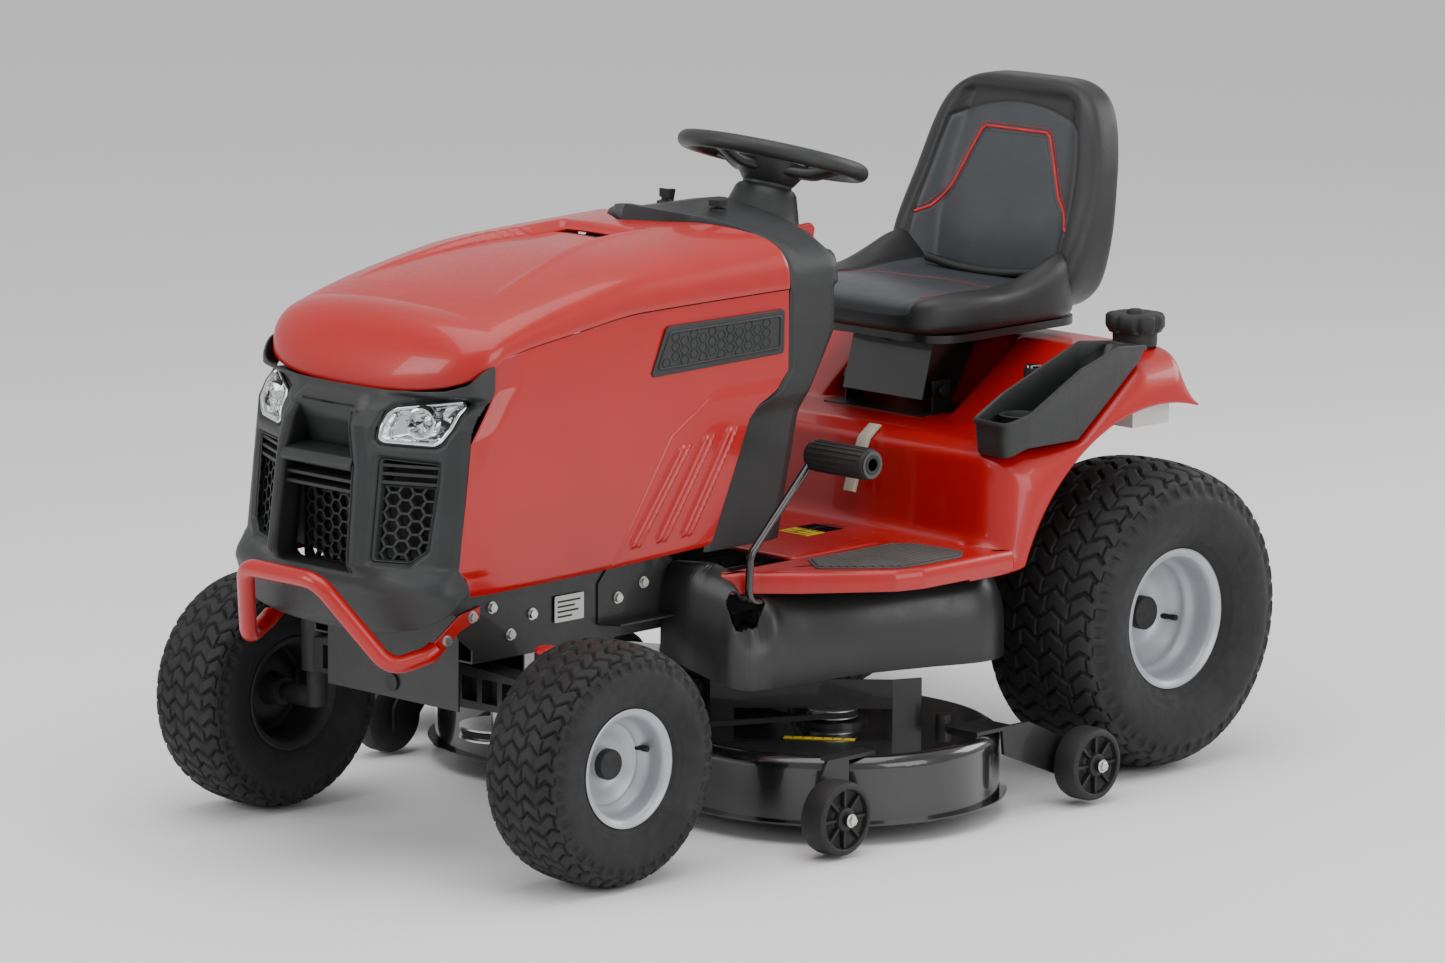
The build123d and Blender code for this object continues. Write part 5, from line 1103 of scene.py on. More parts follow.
NV = 190
RS, FLT = fender_profile()
RS, FLT = resample(RS, NV), resample(FLT, NV)
xs = np.r_[np.linspace(0, 118, 14), np.linspace(126, 150, 12), np.linspace(160, 352, 20)]
roll = np.linspace(0, 1, 26)[1:]
cols = []
for x in xs:
    w = float(sstep(122, 150, x))
    cols.append([(x, FLT[j, 0] * (1 - w) + RS[j, 0] * w, FLT[j, 1] * (1 - w) + RS[j, 1] * w) for j in range(NV)])
arch = []
for j in range(NV):
    y, z = RS[j]
    if y < 232 and z < 420:
        arch.append((y, 381.0))
    else:
        f = (j - np.argmax(RS[:, 0] >= 232)) / (NV - 1 - np.argmax(RS[:, 0] >= 232))
        a0_, a1_ = math.atan2(383 - 257, -math.sqrt(357**2 - 126**2)), math.atan2(603 - 257, 96)
        wgt = float(np.interp(f, [0, 0.22, 1], [0, 0.24, 1]))
        a = a0_ + (a1_ - a0_) * wgt
        arch.append((620 + 358 * math.cos(a), 257 + 358 * math.sin(a)))
arch = np.array(arch)
for t in roll:
    ph_ = t * math.pi / 2
    col = []
    for j in range(NV):
        y, z = RS[j]
        floor = 1.0 - float(sstep(200, 236, y)) if z < 420 else 0.0
        c_ = math.cos(ph_) ** 0.95
        x = 352 + 88 * math.sin(ph_) ** 0.9
        if z < 420 and y < 232:
            xe = 352 + 91 * t
            zz = 414 if t < 0.93 else 414 - 33 * ((t - 0.93) / 0.07)
            col.append((xe, y, zz))
        else:
            ey, ez = arch[j]
            yy, zz = ey + (y - ey) * c_, ez + (z - ez) * c_
            col.append((x, yy, zz))
    cols.append(col)
# rolled lip turned out along the arch
lip_ = []
for j in range(NV):
    x, y, z = cols[-1][j]
    lip_.append((x + 1.5, y + (3 if z > 385 else 0), z - 5))
cols.append(lip_)
colsA = np.array(cols)
fullP = np.concatenate([colsA[::-1] * [-1, 1, 1], colsA[1:]], axis=0)
cxm = 0.25 * (fullP[:-1, :-1] + fullP[1:, 1:] + fullP[1:, :-1] + fullP[:-1, 1:])
slot_keep = ~((np.abs(cxm[..., 0] + 250) < 8) & (cxm[..., 1] > 312) & (cxm[..., 1] < 424) & (cxm[..., 2] > 560))
fen = grid("fender_shell", fullP, "red_paint", keep=slot_keep, flip=False, smooth=55)
smf = fen.modifiers.new("soft", "SMOOTH")
smf.iterations = 4
thick(fen, 3.5, -1)

# footrest plates with their turned-down rim
FH = [(-242, -50), (-242, -246), (-290, -172), (-336, -130), (-394, -53), (-430, -8), (-443, 34), (-443, 153), (-440, 240)]


def footrest(side):
    out = fillet([(-244, 246), (-244, -246), (-290, -176), (-336, -130), (-394, -53), (-430, -4), (-443, 44), (-443, 154), (-441, 262), (-300, 262)], [4, 14, 30, 50, 40, 40, 40, 30, 6, 4], closed=True, seg=8)
    out = [np.array([-p[0] * side, p[1]]) for p in out]
    c = np.mean(out, axis=0)
    rows_ = []
    prof = [(-2.5, 380), (0.5, 381), (1.2, 396), (0.4, 405), (-2.5, 411.5), (-7, 414.2), (-14, 414.4)]
    n = len(out)
    for off, z in prof:
        row = []
        for i, p in enumerate(out):
            a, b = out[i - 1], out[(i + 1) % n]
            t = (b - a) / (np.linalg.norm(b - a) + 1e-9)
            nn = np.array([t[1], -t[0]])
            if (nn @ (p - c)) < 0:
                nn = -nn
            row.append((p[0] + nn[0] * off, p[1] + nn[1] * off, z))
        rows_.append(row)
    inner = rows_[-1]
    for f_, z in ((0.9, 414.4), (0.6, 414.2), (0.3, 414.2), (0.02, 414.2)):
        rows_.append([(c[0] + (p[0] - c[0]) * f_, c[1] + (p[1] - c[1]) * f_, z) for p in inner])
    o = grid("fr", rows_, "red_paint", closed_v=True, smooth=50, flip=side > 0)
    return o


f1, f2 = footrest(1), footrest(-1)
tunnel = grid("tun", [[(x, y, 411.5 - 0.0 * x) for y in np.linspace(-50, 236, 20)] for x in np.linspace(-246, 246, 20)], "red_paint")
thick(tunnel, 3, 0)
posts = []
for x in (-256, -380):
    posts.append(prism("po", fillet([(10, 412), (30, 412), (30, 452), (25, 458), (15, 458), (10, 452)], 3, closed=True), 8, "frame_black", origin=(x - 4, 0, 0), ex=(0, 1, 0), ey=(0, 0, 1), bev=1))
posts.append(tube("pin", [(-380, 20, 450), (-256, 20, 450)], 5, "steel", n=16))
place(join("fender_footrest_body", [fen, f1, f2, tunnel]), "chassis", "red_paint", "fender_deck")
place(join("pedal_posts", posts), "chassis", "frame_black")

# beige strap on the front wall, plain yellow panel in the footwell
strap_y = resample(np.array(fillet([(228, 470), (240, 505), (263, 556), (290, 574.5)], [0, 20, 12, 0], seg=6)), 16)
G = [[(97 + dx, p[0] - dn * 0.94, p[1] + dn * 0.34) for dx, dn in ((0, 0), (0, 6), (3, 8), (21, 8), (24, 6), (24, 0))] for p in strap_y]
strap = grid("pedestal_strap", G, "beige", smooth=40)
bevel(strap, 1, 2)
place(strap, "chassis", "white_plastic")
yp = prism("yp", fillet([(60, 108), (124, 108), (124, 226), (60, 226)], 4, closed=True), 1.0, "yellow", origin=(0, 0, 413.0), bev=0.3)
bars = [yp]
for i in range(7):
    bars.append(prism("bb", [(66, 114 + i * 15.5), (118, 114 + i * 15.5), (118, 117 + i * 15.5), (66, 117 + i * 15.5)], 0.5, "rubber", origin=(0, 0, 413.8), bev=0.1))
bars.append(prism("bc", [(86, 112), (89, 112), (89, 222), (86, 222)], 0.6, "rubber", origin=(0, 0, 413.8), bev=0.1))
place(join("footwell_panel", bars), "chassis", "white_plastic")


# ribbed foot mats
def foot_mat(side):
    poly = [(270, -44), (330, -88), (376, -40), (420, 16), (427, 60), (427, 150), (398, 186), (300, 178), (274, 150)]
    poly = [(p[0], p[1]) for p in fillet(poly, 10, closed=True, seg=4)]
    parts = [prism("m", [(p[0] * side, p[1]) for p in (poly if side > 0 else poly[::-1])], 2.2, "mat_grey", origin=(0, 0, 414.2), bev=0.8)]
    x = 278.0
    while x < 424:
        seg = [y for y in np.arange(-86, 186, 2.0) if in_poly(x, y, poly) and in_poly(x + 5, y, poly)]
        if side < 0:
            spans = [[y for y in seg if y < 2], [y for y in seg if y > 38]] if 250 < x < 392 else [seg]
        else:
            spans = [seg]
        for sp_ in spans:
            if len(sp_) > 4:
                y0, y1 = sp_[0] + 3, sp_[-1] - 3
                q = [(x * side, y0), ((x + 5) * side, y0), ((x + 5) * side, y1), (x * side, y1)]
                parts.append(prism("r", q if side > 0 else q[::-1], 2.6, "mat_grey", origin=(0, 0, 416), bev=0.9, seg=2))
        x += 9.0
    return place(join("foot_mat_" + ("left" if side > 0 else "right"), parts), "chassis", "rubber", "foot_mats")


foot_mat(1)
foot_mat(-1)

# ================================================================ storage tray
to = fillet([(350, 258), (424, 254), (436, 300), (436, 420), (430, 520), (420, 606), (356, 612), (346, 520), (346, 330)], [14, 22, 40, 60, 60, 16, 16, 60, 40], closed=True, seg=8)
to = np.array(to)
tc = to.mean(axis=0)


def fender_z(y):
    return float(np.interp(y, [262, 300, 424, 520, 598, 640], [560, 574, 574, 641, 691, 692]))


def rim_z(y):
    return float(hermite(y, [250, 300, 350, 440, 520, 560, 615], [616, 632, 660, 697, 715, 716, 704]))


rows_ = []
for f_, kz in ((0.93, "b0"), (0.95, "b1"), (0.985, "m"), (1.0, "t0"), (1.03, "t1"), (1.04, "t2"), (1.02, "t3"), (0.95, "t4"), (0.92, "i0"), (0.88, "i1"), (0.84, "f0"), (0.6, "f1"), (0.3, "f1"), (0.02, "f1")):
    row = []
    for p in to:
        q = tc + (p - tc) * np.array([f_ if f_ <= 1 else 1 + (f_ - 1) * 1.6, f_ ** 0.5])
        fz, rz = fender_z(q[1]) + 1, rim_z(q[1])
        fl = min(fz + 12, rz - 8) if q[1] < 560 else rz - 6
        z = {"b0": fz, "b1": fz + 4, "m": fz + 0.5 * (rz - fz), "t0": rz - 8, "t1": rz - 5, "t2": rz - 1, "t3": rz + 1.5, "t4": rz, "i0": rz - 6, "i1": (rz + fl) / 2, "f0": fl + 3, "f1": fl}[kz]
        row.append((q[0], q[1], z))
    rows_.append(row)
tray = grid("storage_tray_tub", rows_, "dark_plastic", closed_v=True, smooth=50, flip=False)
bm = bmesh.new()
bm.from_mesh(tray.data)
bmesh.ops.recalc_face_normals(bm, faces=bm.faces)
bm.to_mesh(tray.data)
bm.free()
dv = [prism("dv", fillet([(0, 0), (72, 0), (72, 26), (0, 40)], 4, closed=True), 5, "dark_plastic", origin=(356, 420, 586), ex=(1, 0, 0), ey=(0, 0, 1), bev=1.5)]
cup = lathe("cup", [(0, 30), (26, 33), (32, 35), (33, 32), (28, 30), (2, 27), (2, 0.1)], "dark_plastic", axis="z", centre=(388, 330, 590), n=48, smooth=40)
place(join("storage_tray_moulding", [tray, cup] + dv), "chassis", "dark_plastic", "storage_tray")

# fuel cap with scalloped grip, neck and vent tip
G = []
for h_, r_, lob in ((-28, 37, 0), (-6, 37.5, 0), (-5, 44, 0), (0, 47, 1), (4, 50, 1), (20, 50, 1), (24, 47, 1), (25.5, 40, 0.4), (26, 26, 0), (25, 22, 0), (25, 15, 0), (30, 13, 0), (32, 9, 0), (32.2, 0.1, 0)):
    row = []
    for i in range(144):
        a = 2 * math.pi * i / 144
        r2_ = r_ - lob * 5.2 * max(0.0, math.cos(8 * a)) ** 2.2
        row.append((340 + r2_ * math.cos(a), 668 + r2_ * math.sin(a), 722 + h_))
    G.append(row)
cap = grid("fuel_cap_grip", G, "rubber", closed_v=True, smooth=40)
place(cap, "cap", "dark_plastic", "fuel_cap")
# black vent cap with a bright top beside the seat
v1 = lathe("v1", [(0, 17), (22, 17), (26, 15), (27, 12)], "rubber", axis="z", centre=(252, 516, 636), n=40, smooth=35)
v2 = lathe("v2", [(26, 13.5), (30, 13.5), (31.5, 11), (31.8, 0.1)], "chrome", axis="z", centre=(252, 516, 636), n=40, smooth=35)
place(join("side_vent_cap", [v1, v2]), "chassis", "dark_plastic")
win = prism("w", fillet([(150, 436), (196, 436), (196, 506), (150, 506)], 12, closed=True), 2.0, "white_plastic", origin=(0, -1, 0), ex=(1, 0, 0), ey=(0, 0.802, 0.597), bev=0.8)
win.location = (0, 0, 0)
bpy.data.objects.remove(win, do_unlink=True)


# ================================================================ seat
def two_tone(name, black, grey):
    """Vinyl that turns from black to grey where the mesh's own panel value is above zero."""
    m = black.copy()
    m.name = name
    nt = m.node_tree
    sh = next(n for n in nt.nodes if n.type == "BSDF_PRINCIPLED")
    src = sh.inputs["Base Color"].links[0].from_socket
    at = nt.nodes.new("ShaderNodeAttribute")
    at.attribute_name = "panel"
    mr = nt.nodes.new("ShaderNodeMapRange")
    mr.inputs["From Min"].default_value = -0.6
    mr.inputs["From Max"].default_value = 0.6
    nt.links.new(at.outputs["Fac"], mr.inputs["Value"])
    n = nt.nodes.new("ShaderNodeTexNoise")
    n.inputs["Scale"].default_value = 30
    r = nt.nodes.new("ShaderNodeValToRGB")
    r.color_ramp.elements[0].color = (0.030, 0.033, 0.038, 1)
    r.color_ramp.elements[1].color = (0.042, 0.047, 0.053, 1)
    co = next(x for x in nt.nodes if x.type == "TEX_COORD")
    nt.links.new(co.outputs["Object"], n.inputs["Vector"])
    nt.links.new(n.outputs["Fac"], r.inputs["Fac"])
    mix = nt.nodes.new("ShaderNodeMix")
    mix.data_type = "RGBA"
    nt.links.new(mr.outputs["Result"], mix.inputs["Factor"])
    nt.links.new(src, mix.inputs["A"])
    nt.links.new(r.outputs["Color"], mix.inputs["B"])
    nt.links.new(mix.outputs["Result"], sh.inputs["Base Color"])
    return m


M["vinyl"] = two_tone("vinyl", M["vinyl_black"], M["vinyl_grey"])


def pillow(name, mapf, panel, nu=90, nw=90, nt_=16, power=6.0, mat="vinyl"):
    """Rounded block: the six faces of a cube grid pushed to a superellipsoid, then shaped by mapf."""
    V, F, idx = [], [], {}

    def vid(p):
        k = tuple(round(c, 5) for c in p)
        if k not in idx:
            idx[k] = len(V)
            V.append(k)
        return idx[k]

    def warp(n):
        return np.sin(np.linspace(-1, 1, n) * math.pi / 2 * 0.92) / math.sin(math.pi / 2 * 0.92)
    U, W_, T = warp(nu), warp(nw), warp(nt_)
    for a, b, mk in ((U, W_, lambda x, y: ((x, y, -1), (x, y, 1))), (U, T, lambda x, y: ((x, -1, y), (x, 1, y))), (W_, T, lambda x, y: ((-1, x, y), (1, x, y)))):
        for s in (0, 1):
            for i in range(len(a) - 1):
                for j in range(len(b) - 1):
                    F.append(tuple(vid(mk(*q)[s]) for q in ((a[i], b[j]), (a[i + 1], b[j]), (a[i + 1], b[j + 1]), (a[i], b[j + 1]))))
    P = np.array(V)
    nrm = (np.abs(P) ** power).sum(axis=1) ** (1 / power)
    P = P / nrm[:, None]
    Q = mapf(P[:, 0], P[:, 1], P[:, 2])
    o = obj(name, Q, F, mat, smooth=70)
    bm = bmesh.new()
    bm.from_mesh(o.data)
    bmesh.ops.recalc_face_normals(bm, faces=bm.faces)
    bm.to_mesh(o.data)
    bm.free()
    at = o.data.attributes.new("panel", "FLOAT", "POINT")
    at.data.foreach_set("value", panel(P[:, 0], P[:, 1], P[:, 2], Q).astype(np.float32))
    return o


def back_w(z):
    return hermite(z, [720, 780, 850, 950, 1020, 1070, 1106], [196, 210, 213, 202, 186, 168, 142])


def back_map(u, w, t):
    s = (w + 1) / 2
    z = 724 + 379 * s
    W_ = back_w(z)
    x = u * W_
    yc = 716 + (z - 782) * 0.228 + 6 * ((z - 782) / 300.0) ** 2
    front = np.clip(-t, 0, 1)
    rec = 20 * (1 - sstep(0.62, 0.86, np.abs(u))) * (1 - sstep(0.80, 0.97, w)) * front
    lum = 9 * np.exp(-((z - 850) / 60.0) ** 2) * (1 - sstep(0.3, 0.75, np.abs(u))) * front
    wing = 44 * sstep(0.60, 0.95, np.abs(u)) * (1 - sstep(770, 985, z)) * front
    seam = 3.0 * np.exp(-((x_panel(x, z) / 3.2) ** 2)) * front
    pipe = 2.2 * np.exp(-((pipe_d(x, z) / 4.5) ** 2)) * front
    y = yc + (46 + 6 * np.clip(t, 0, 1) * (1 - sstep(760, 900, z))) * t + rec - lum - wing + seam + pipe
    y = y + 10 * (np.abs(u) ** 3) * np.clip(t, 0, 1) * -1
    return np.stack([x, y, z], 1)


def x_panel(x, z):
    W_ = back_w(z)
    return np.maximum(np.abs(x) - (W_ - 42), z - 1058 + 0.0016 * x * x)


PIPE = np.array(fillet([(-172, 862), (-152, 872), (-120, 910), (-96, 965), (-74, 1014), (74, 1014), (96, 965), (120, 910), (152, 872), (172, 862)], [0, 10, 40, 10, 18, 18, 10, 40, 10, 0], seg=6))


def pipe_d(x, z):
    d = np.full(np.shape(x), 1e9)
    for i in range(len(PIPE) - 1):
        a, b = PIPE[i], PIPE[i + 1]
        ab = b - a
        t = np.clip(((x - a[0]) * ab[0] + (z - a[1]) * ab[1]) / (ab @ ab + 1e-9), 0, 1)
        d = np.minimum(d, np.hypot(x - a[0] - t * ab[0], z - a[1] - t * ab[1]))
    return d


def back_front(x, z, out=0.0):
    """Point on the front of the backrest at x, z."""
    s = (z - 724) / 379
    w = 2 * s - 1
    u = x / float(back_w(np.array([z]))[0])
    t = -max(0.2, (1 - abs(u) ** 6 - abs(w) ** 6)) ** (1 / 6)
    q = back_map(np.array([u]), np.array([w]), np.array([t]))[0]
    return np.array([q[0], q[1] - out, q[2]])


brest = pillow("backrest_vinyl", back_map, lambda u, w, t, Q: np.where(t < -0.3, -x_panel(Q[:, 0], Q[:, 2]), -9.0), nu=110, nw=110, nt_=18)
place(brest, "seat", "vinyl", "seat_backrest")
pp = [back_front(p[0], p[1], 0.6) for p in path_smooth(PIPE, 90)]
piping = tube("p", pp, 2.6, "red_thread", n=10)
stit = [piping]
PIPE_PATH = path_smooth(PIPE, 90)
for off in (7.5, -7.5):
    for i in range(2, 88, 1):
        a, b = PIPE[0], PIPE[-1]
        pl = PIPE_PATH
        tng = pl[min(i + 1, 89)] - pl[i - 1]
        tng /= np.linalg.norm(tng)
        nn = np.array([-tng[1], tng[0]])
        c = pl[i] + nn * off
        p0, p1 = c - tng * 2.2, c + tng * 2.2
        stit.append(tube("s", [back_front(p0[0], p0[1], 0.2), back_front(p1[0], p1[1], 0.2)], 0.55, "red_thread" if off > 0 else "thread", n=5))
bor = []
for z in np.linspace(790, 1026, 44):
    bor.append((float(back_w(np.array([z]))[0]) - 36, z))
for a in np.linspace(0, math.pi / 2, 10)[1:]:
    bor.append((bor[43][0] - 34 * (1 - math.cos(a)) - 4 * math.sin(a), 1026 + 34 * math.sin(a)))
for sd in (1, -1):
    for i in range(0, len(bor) - 1):
        a, b = np.array(bor[i]), np.array(bor[i + 1])
        p0, p1 = a + (b - a) * 0.2, a + (b - a) * 0.8
        stit.append(tube("s", [back_front(sd * p0[0], p0[1], 0.3), back_front(sd * p1[0], p1[1], 0.3)], 0.6, "thread", n=5))
place(join("backrest_piping_and_stitching", stit), "seat", "vinyl")


def cush_map(u, v, t):
    W_ = 212 - 16 * sstep(0.2, 1.0, -v) - 6 * sstep(0.5, 1, v)
    x = u * W_
    y = 513 + 196 * v
    up = np.clip(t, 0, 1)
    bol = (12 + 66 * sstep(470, 705, y) ** 1.3) * sstep(0.62, 0.90, np.abs(u)) * up
    crown = 7 * np.exp(-(((y - 410) / 70.0) ** 2)) * (1 - sstep(0.5, 0.95, np.abs(u))) * up
    dip = -6 * np.exp(-(((y - 590) / 80.0) ** 2)) * (1 - sstep(0.4, 0.8, np.abs(u))) * up
    seam = -3.2 * np.exp(-((c_panel(x, y) / 3.4) ** 2)) * up
    st_ = -2.2 * np.exp(-((cst_d(x, y) / 4.0) ** 2)) * up
    z = 750 + 30 * t + bol + crown + dip + seam + st_
    y = y - 5 * np.clip(-v, 0, 1) * (1 - up)
    return np.stack([x, y, z], 1)


def c_panel(x, y):
    return np.abs(x) - (150 - 6 * sstep(560, 700, y))


CST = np.array(fillet([(150, 352), (150, 470), (126, 560), (0, 588), (-126, 560), (-150, 470), (-150, 352)], [0, 60, 50, 200, 50, 60, 0], seg=8))


def cst_d(x, y):
    d = np.full(np.shape(x), 1e9)
    for i in range(len(CST) - 1):
        a, b = CST[i], CST[i + 1]
        ab = b - a
        t = np.clip(((x - a[0]) * ab[0] + (y - a[1]) * ab[1]) / (ab @ ab + 1e-9), 0, 1)
        d = np.minimum(d, np.hypot(x - a[0] - t * ab[0], y - a[1] - t * ab[1]))
    return d


def cush_top(x, y, out=0.0):
    v = (y - 513) / 196
    W_ = 212 - 16 * float(sstep(0.2, 1.0, -v)) - 6 * float(sstep(0.5, 1, v))
    u = x / W_
    t = max(0.2, (1 - abs(u) ** 6 - abs(v) ** 6)) ** (1 / 6)
    q = cush_map(np.array([u]), np.array([v]), np.array([t]))[0]
    return np.array([q[0], q[1], q[2] + out])


cush = pillow("cushion_vinyl", cush_map, lambda u, v, t, Q: np.where(t > 0.3, -c_panel(Q[:, 0], Q[:, 1]), -9.0), nu=100, nw=100, nt_=14)
place(cush, "seat", "vinyl", "seat_cushion")
stit = []
pl = path_smooth(CST, 130)
for i in range(1, 129):
    tng = pl[i + 1] - pl[i - 1]
    tng /= np.linalg.norm(tng)
    for off in (0.0, 4.0):
        c = pl[i] + np.array([-tng[1], tng[0]]) * off
        p0, p1 = c - tng * 2.0, c + tng * 2.0
        stit.append(tube("s", [cush_top(p0[0], p0[1], 0.2), cush_top(p1[0], p1[1], 0.2)], 0.6, "red_thread", n=5))
stit.append(tube("welt", path_smooth([(-128, 668, 790), (-60, 662, 783), (0, 660, 781), (60, 662, 783), (128, 668, 790)], 30), 7.5, "vinyl_black", n=14))
place(join("cushion_stitching", stit), "seat", "vinyl")

# ================================================================ lower guards
GP = [(186, -292), (252, -282), (316, -232), (336, -120), (352, 0), (386, 112), (421, 214), (400, 284), (330, 318)]


def guard(side):
    pl_ = path_smooth(GP, 460)
    n = len(pl_)
    c = np.array([200.0, 60.0])
    prof = [(0, 0.0), (0, 0.2), (0.5, 0.37), (2.5, 0.53), (7, 0.67), (14, 0.785), (24, 0.875), (37, 0.94), (52, 0.975), (70, 0.995), (90, 1.0)]
    pf = path_smooth(prof, 140)
    rows_ = []
    for i in range(n):
        s = i / (n - 1)
        a, b = pl_[max(i - 1, 0)], pl_[min(i + 1, n - 1)]
        t = (b - a) / np.linalg.norm(b - a)
        nn = np.array([t[1], -t[0]])
        zb = 234 + 46 * (1 - float(sstep(0, 0.22, s)))
        zt = 380 + 48 * (1 - float(sstep(0.02, 0.30, s)))
        row = []
        arc = s * 760
        for off, f in pf:
            z = zb + (zt - zb) * f
            d = -off * (1 - 0.5 * (1 - float(sstep(0, 0.1, s))))
            g = arc - 168
            lo_ = float(sstep(268, 345, z))
            d -= 17 * math.exp(-(g / 24.0) ** 2) * lo_
            d += 4.5 * (math.exp(-((g - 40) / 13.0) ** 2) + math.exp(-((g + 40) / 13.0) ** 2)) * lo_
            d -= 4.0 * math.exp(-((z - zb - 20) / 5.0) ** 2)
            row.append((side * (pl_[i][0] + nn[0] * d), pl_[i][1] + nn[1] * d, z))
        rows_.append(row)
    A_ = np.array(rows_)
    m = 0.25 * (A_[:-1, :-1] + A_[1:, 1:] + A_[1:, :-1] + A_[:-1, 1:])
    hole = (((np.abs(m[..., 0]) - 295) / 13.0) ** 4 + ((m[..., 1] + 212) / 37.0) ** 4 < 1) & (m[..., 2] > 330)
    if side < 0:
        hole[:] = False
    o = grid("guard", A_, "guard_plastic", keep=~hole, smooth=55, flip=side < 0)
    thick(o, 3.0, 0)
    bevel(o, 0.8, 2, 50)
    return place(o, "chassis", "dark_plastic", "lower_guards")


g_l = guard(1)
g_l.name = "lower_guard_left"
g_r = guard(-1)
g_r.name = "lower_guard_right"


# ================================================================ gauge wheels
def gauge(body, node, cx, cy, cz, side):
    prof = [(-25, 8), (-25, 40), (-24.5, 52), (-21, 57.5), (-14, 59.8), (0, 60), (14, 59.6), (21, 57.5), (24.5, 53), (24.8, 50), (23, 47.5), (15, 46), (12, 42), (11, 24), (14, 20), (23, 18.5), (25, 16), (25, 8)]
    w = lathe("g", [(h * side, r) for h, r in prof], "rubber", centre=(cx, cy, cz), n=72, smooth=35, flip=side < 0)
    parts = [w]
    for k_ in range(8):
        a = k_ * math.pi / 4
        ca, sa = math.cos(a), math.sin(a)
        p = []
        for r_, t_ in ((18, 2.2), (46.5, 2.8)):
            for h_ in (10, 20):
                for s_ in (1, -1):
                    p.append((cx + side * h_, cy + r_ * ca - s_ * t_ * sa, cz + r_ * sa + s_ * t_ * ca))
        o = obj("rb", p, [(0, 1, 3, 2), (4, 6, 7, 5), (0, 4, 5, 1), (2, 3, 7, 6), (0, 2, 6, 4), (1, 5, 7, 3)], "rubber", smooth=30)
        bevel(o, 0.8, 2)
        parts.append(o)
    place(join("gauge_roller_" + body, parts), body, "rubber", node)


for b_, n_, c_, sd in (("gauge_fl", "gauge_wheel_front_left", (515, -232, 64), 1), ("gauge_fr", "gauge_wheel_front_right", (-515, -232, 64), -1),
                       ("gauge_rl", "gauge_wheel_rear_left", (541, 335, 67), 1), ("gauge_rr", "gauge_wheel_rear_right", (-541, 335, 67), -1)):
    gauge(b_, n_, *c_, sd)
    place(join("roller_bolt_" + b_, hexbolt((c_[0] + sd * 33, c_[1], c_[2]), (sd, 0, 0), 8, 7)), "deck", "zinc")

# ================================================================ small details
dp = prism("dp", fillet([(-526, 366), (-462, 366), (-462, 408), (-526, 408)], 2, closed=True), 0.8, "plate", origin=(183.3, 0, 0), ex=(0, 1, 0), ey=(0, 0, 1), bev=0.3)
bars = [dp]
for i, (y0_, y1_) in enumerate(((-520, -470), (-520, -482), (-520, -474), (-520, -488))):
    bars.append(prism("l", [(y0_, 397 - i * 8), (y1_, 397 - i * 8), (y1_, 400 - i * 8), (y0_, 400 - i * 8)], 0.5, "rubber", origin=(183.9, 0, 0), ex=(0, 1, 0), ey=(0, 0, 1), bev=0.1))
place(join("blank_data_plate", bars), "chassis", "white_plastic")
ys_ = prism("ys", fillet([(300, -128), (392, -60), (384, -48), (292, -116)], 2, closed=True), 0.8, "yellow", origin=(0, 0, 140.2), bev=0.2)
yb_ = [ys_]
for i in range(6):
    f0, f1 = 0.12 + i * 0.14, 0.14 + i * 0.14
    p = lambda f, g: (300 + 92 * f - 8 * g, -128 + 68 * f + 12 * g)
    yb_.append(prism("yb", [p(f0, 0.15), p(f1, 0.15), p(f1, 0.85), p(f0, 0.85)], 0.4, "rubber", origin=(0, 0, 140.9), bev=0.1))
place(join("deck_yellow_strip", yb_), "deck", "black_paint")
for sd, bd in ((1, "spindle_l"), (-1, "spindle_r")):
    top = float(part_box("spindle_left" if sd > 0 else "spindle_right")[1][2]) / K
    gc = lathe("grease_cap_" + bd, [(-2, 17), (2, 18), (6, 18), (9, 14), (10, 9), (10.3, 0.1)], "grease_red", axis="z", centre=(262 * sd, -620, top), n=32, smooth=35)
    place(gc, bd, "red_plastic")

# ================================================================ CAD pieces that stay: finishes and eased edges
STAY = {
    "front_axle_beam": "cast_black", "spindle_left": "cast_black", "spindle_right": "cast_black", "tie_rod": "frame_black", "drag_link": "zinc",
    "steering_sector": "steel", "throttle_lever": "rubber", "ignition_key": "rubber", "pto_knob": "rubber", "frame_rails": "frame_black",
    "frame_plates": "frame_black", "engine_block": "engine_alu", "blower_housing": "cast_black", "engine_pulley": "steel", "transaxle": "engine_alu",
    "transaxle_pulley": "steel", "drive_belt": "belt", "seat_pan": "frame_black", "seat_bracket": "black_paint", "fuel_tank": "white_plastic",
    "brake_pedal": "black_paint", "drive_pedal": "rubber", "deck_shell": "black_paint", "deck_brackets": "frame_black", "blade_left": "steel", "blade_right": "steel",
    "deck_belt": "belt", "chute_deflector": "dark_plastic", "lift_lever": "frame_black", "fasteners": "zinc", "battery": "dark_plastic",
}
NOBEV = {"deck_belt", "drive_belt", "steering_sector", "fasteners"}
for n_, mt in STAY.items():
    o = NODES.get(n_)
    if o is None:
        continue
    o.data.materials.clear()
    o.data.materials.append(M[mt])
    if n_ not in NOBEV:
        bevel(o, 0.9, 2, 40)

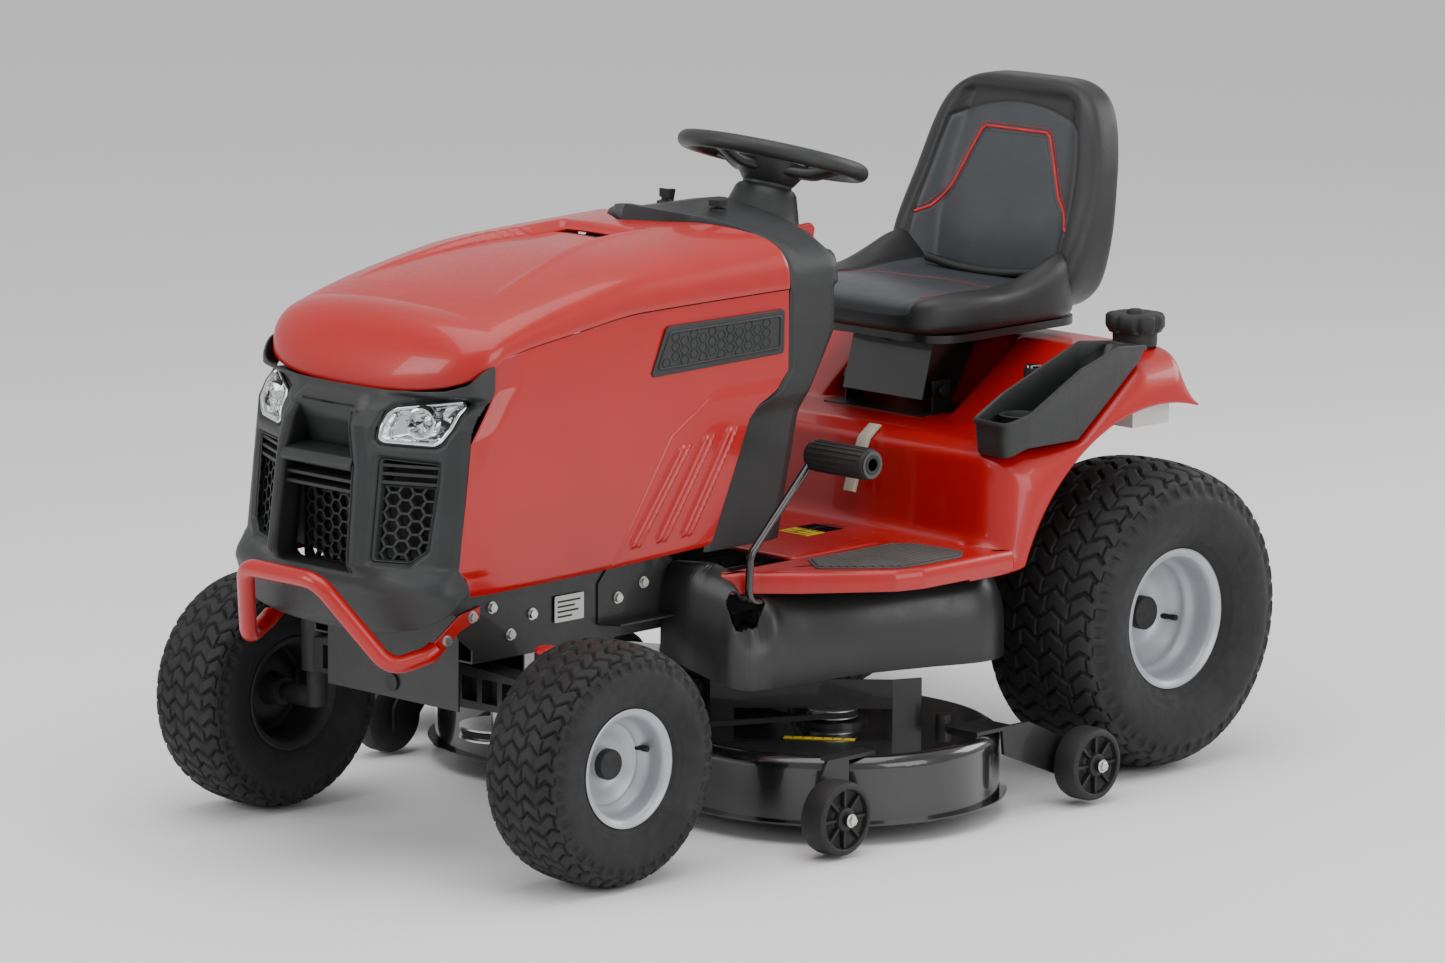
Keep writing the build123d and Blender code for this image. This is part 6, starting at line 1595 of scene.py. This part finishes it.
# ribbed grip over the brake pedal pad
gp = [lathe("grip", [(-64, 12), (-64, 20), (-62, 23), (-58, 24.2), (58, 24.2), (62, 23), (64, 20), (64.5, 12), (64.5, 0.1)], "rubber", centre=(355, -55, 590), n=48, smooth=35)]
for k_ in range(18):
    a = 2 * math.pi * k_ / 18
    c_, s_ = math.cos(a), math.sin(a)
    gp.append(tube("rb", [(299, -55 + 24.4 * c_, 590 + 24.4 * s_), (411, -55 + 24.4 * c_, 590 + 24.4 * s_)], 1.7, "rubber", n=6))
gp.append(lathe("end", [(64, 17), (66, 16), (66.5, 12), (65, 10), (65, 0.1)], "rubber", centre=(355, -55, 590), n=40, smooth=35))
place(join("brake_pedal_grip", gp), "brake", "rubber")

# ================================================================ studio
cam_d = bpy.data.cameras.new("photo_camera")
cam = bpy.data.objects.new("photo_camera", cam_d)
bpy.context.scene.collection.objects.link(cam)
bpy.context.scene.camera = cam
az, el, ro = math.radians(44.058), math.radians(10.368), math.radians(0.506)
right = Vector((math.cos(az), math.sin(az), 0))
backv = Vector((math.sin(az) * math.cos(el), -math.cos(az) * math.cos(el), math.sin(el)))
upv = backv.cross(right)
r2 = right * math.cos(ro) + upv * math.sin(ro)
u2 = -right * math.sin(ro) + upv * math.cos(ro)
mw = Matrix(((r2.x, u2.x, backv.x, 7.61517), (r2.y, u2.y, backv.y, -7.83477), (r2.z, u2.z, backv.z, 2.49817), (0, 0, 0, 1)))
cam.matrix_world = mw
cam_d.lens = 169.75
cam_d.sensor_width = 36
cam_d.shift_x, cam_d.shift_y = 0.0009, 0.0007
cam_d.clip_start, cam_d.clip_end = 0.1, 200

bpy.ops.mesh.primitive_plane_add(size=60, location=(0, 0, 0))
floor = bpy.context.object
floor.name = "studio_floor"
fm = bpy.data.materials.new("floor")
fm.use_nodes = True
fb = fm.node_tree.nodes["Principled BSDF"]
fb.inputs["Base Color"].default_value = (0.93, 0.93, 0.93, 1)
fb.inputs["Roughness"].default_value = 0.55
socket(fb, "Specular IOR Level", "Specular").default_value = 0.25
floor.data.materials.append(fm)


def area(name, loc, target, size, energy, size_y=None, color=(1, 1, 1)):
    d = bpy.data.lights.new(name, "AREA")
    d.energy = energy
    d.size = size
    d.color = color
    if size_y:
        d.shape = "RECTANGLE"
        d.size_y = size_y
    o = bpy.data.objects.new(name, d)
    o.location = loc
    o.rotation_mode = "QUATERNION"
    o.rotation_quaternion = (Vector(target) - Vector(loc)).to_track_quat("-Z", "Y")
    bpy.context.scene.collection.objects.link(o)
    return o


area("top", (0.5, -0.5, 4.2), (0, 0, 0.3), 4.2, 125)
area("key_left", (-1.5, -5.0, 2.6), (0, -0.2, 0.6), 2.6, 80, 2.2)
area("fill_right", (5.5, 0.5, 2.2), (0, 0.2, 0.5), 3.2, 85, 2.6)
area("rim_back", (1.5, 5.0, 2.8), (0, 0.5, 0.7), 3.0, 90, 2.0)
w = bpy.data.worlds.new("studio")
bpy.context.scene.world = w
w.use_nodes = True
bg = w.node_tree.nodes["Background"]
bg.inputs[0].default_value = (1, 1, 1, 1)
bg.inputs[1].default_value = 0.70
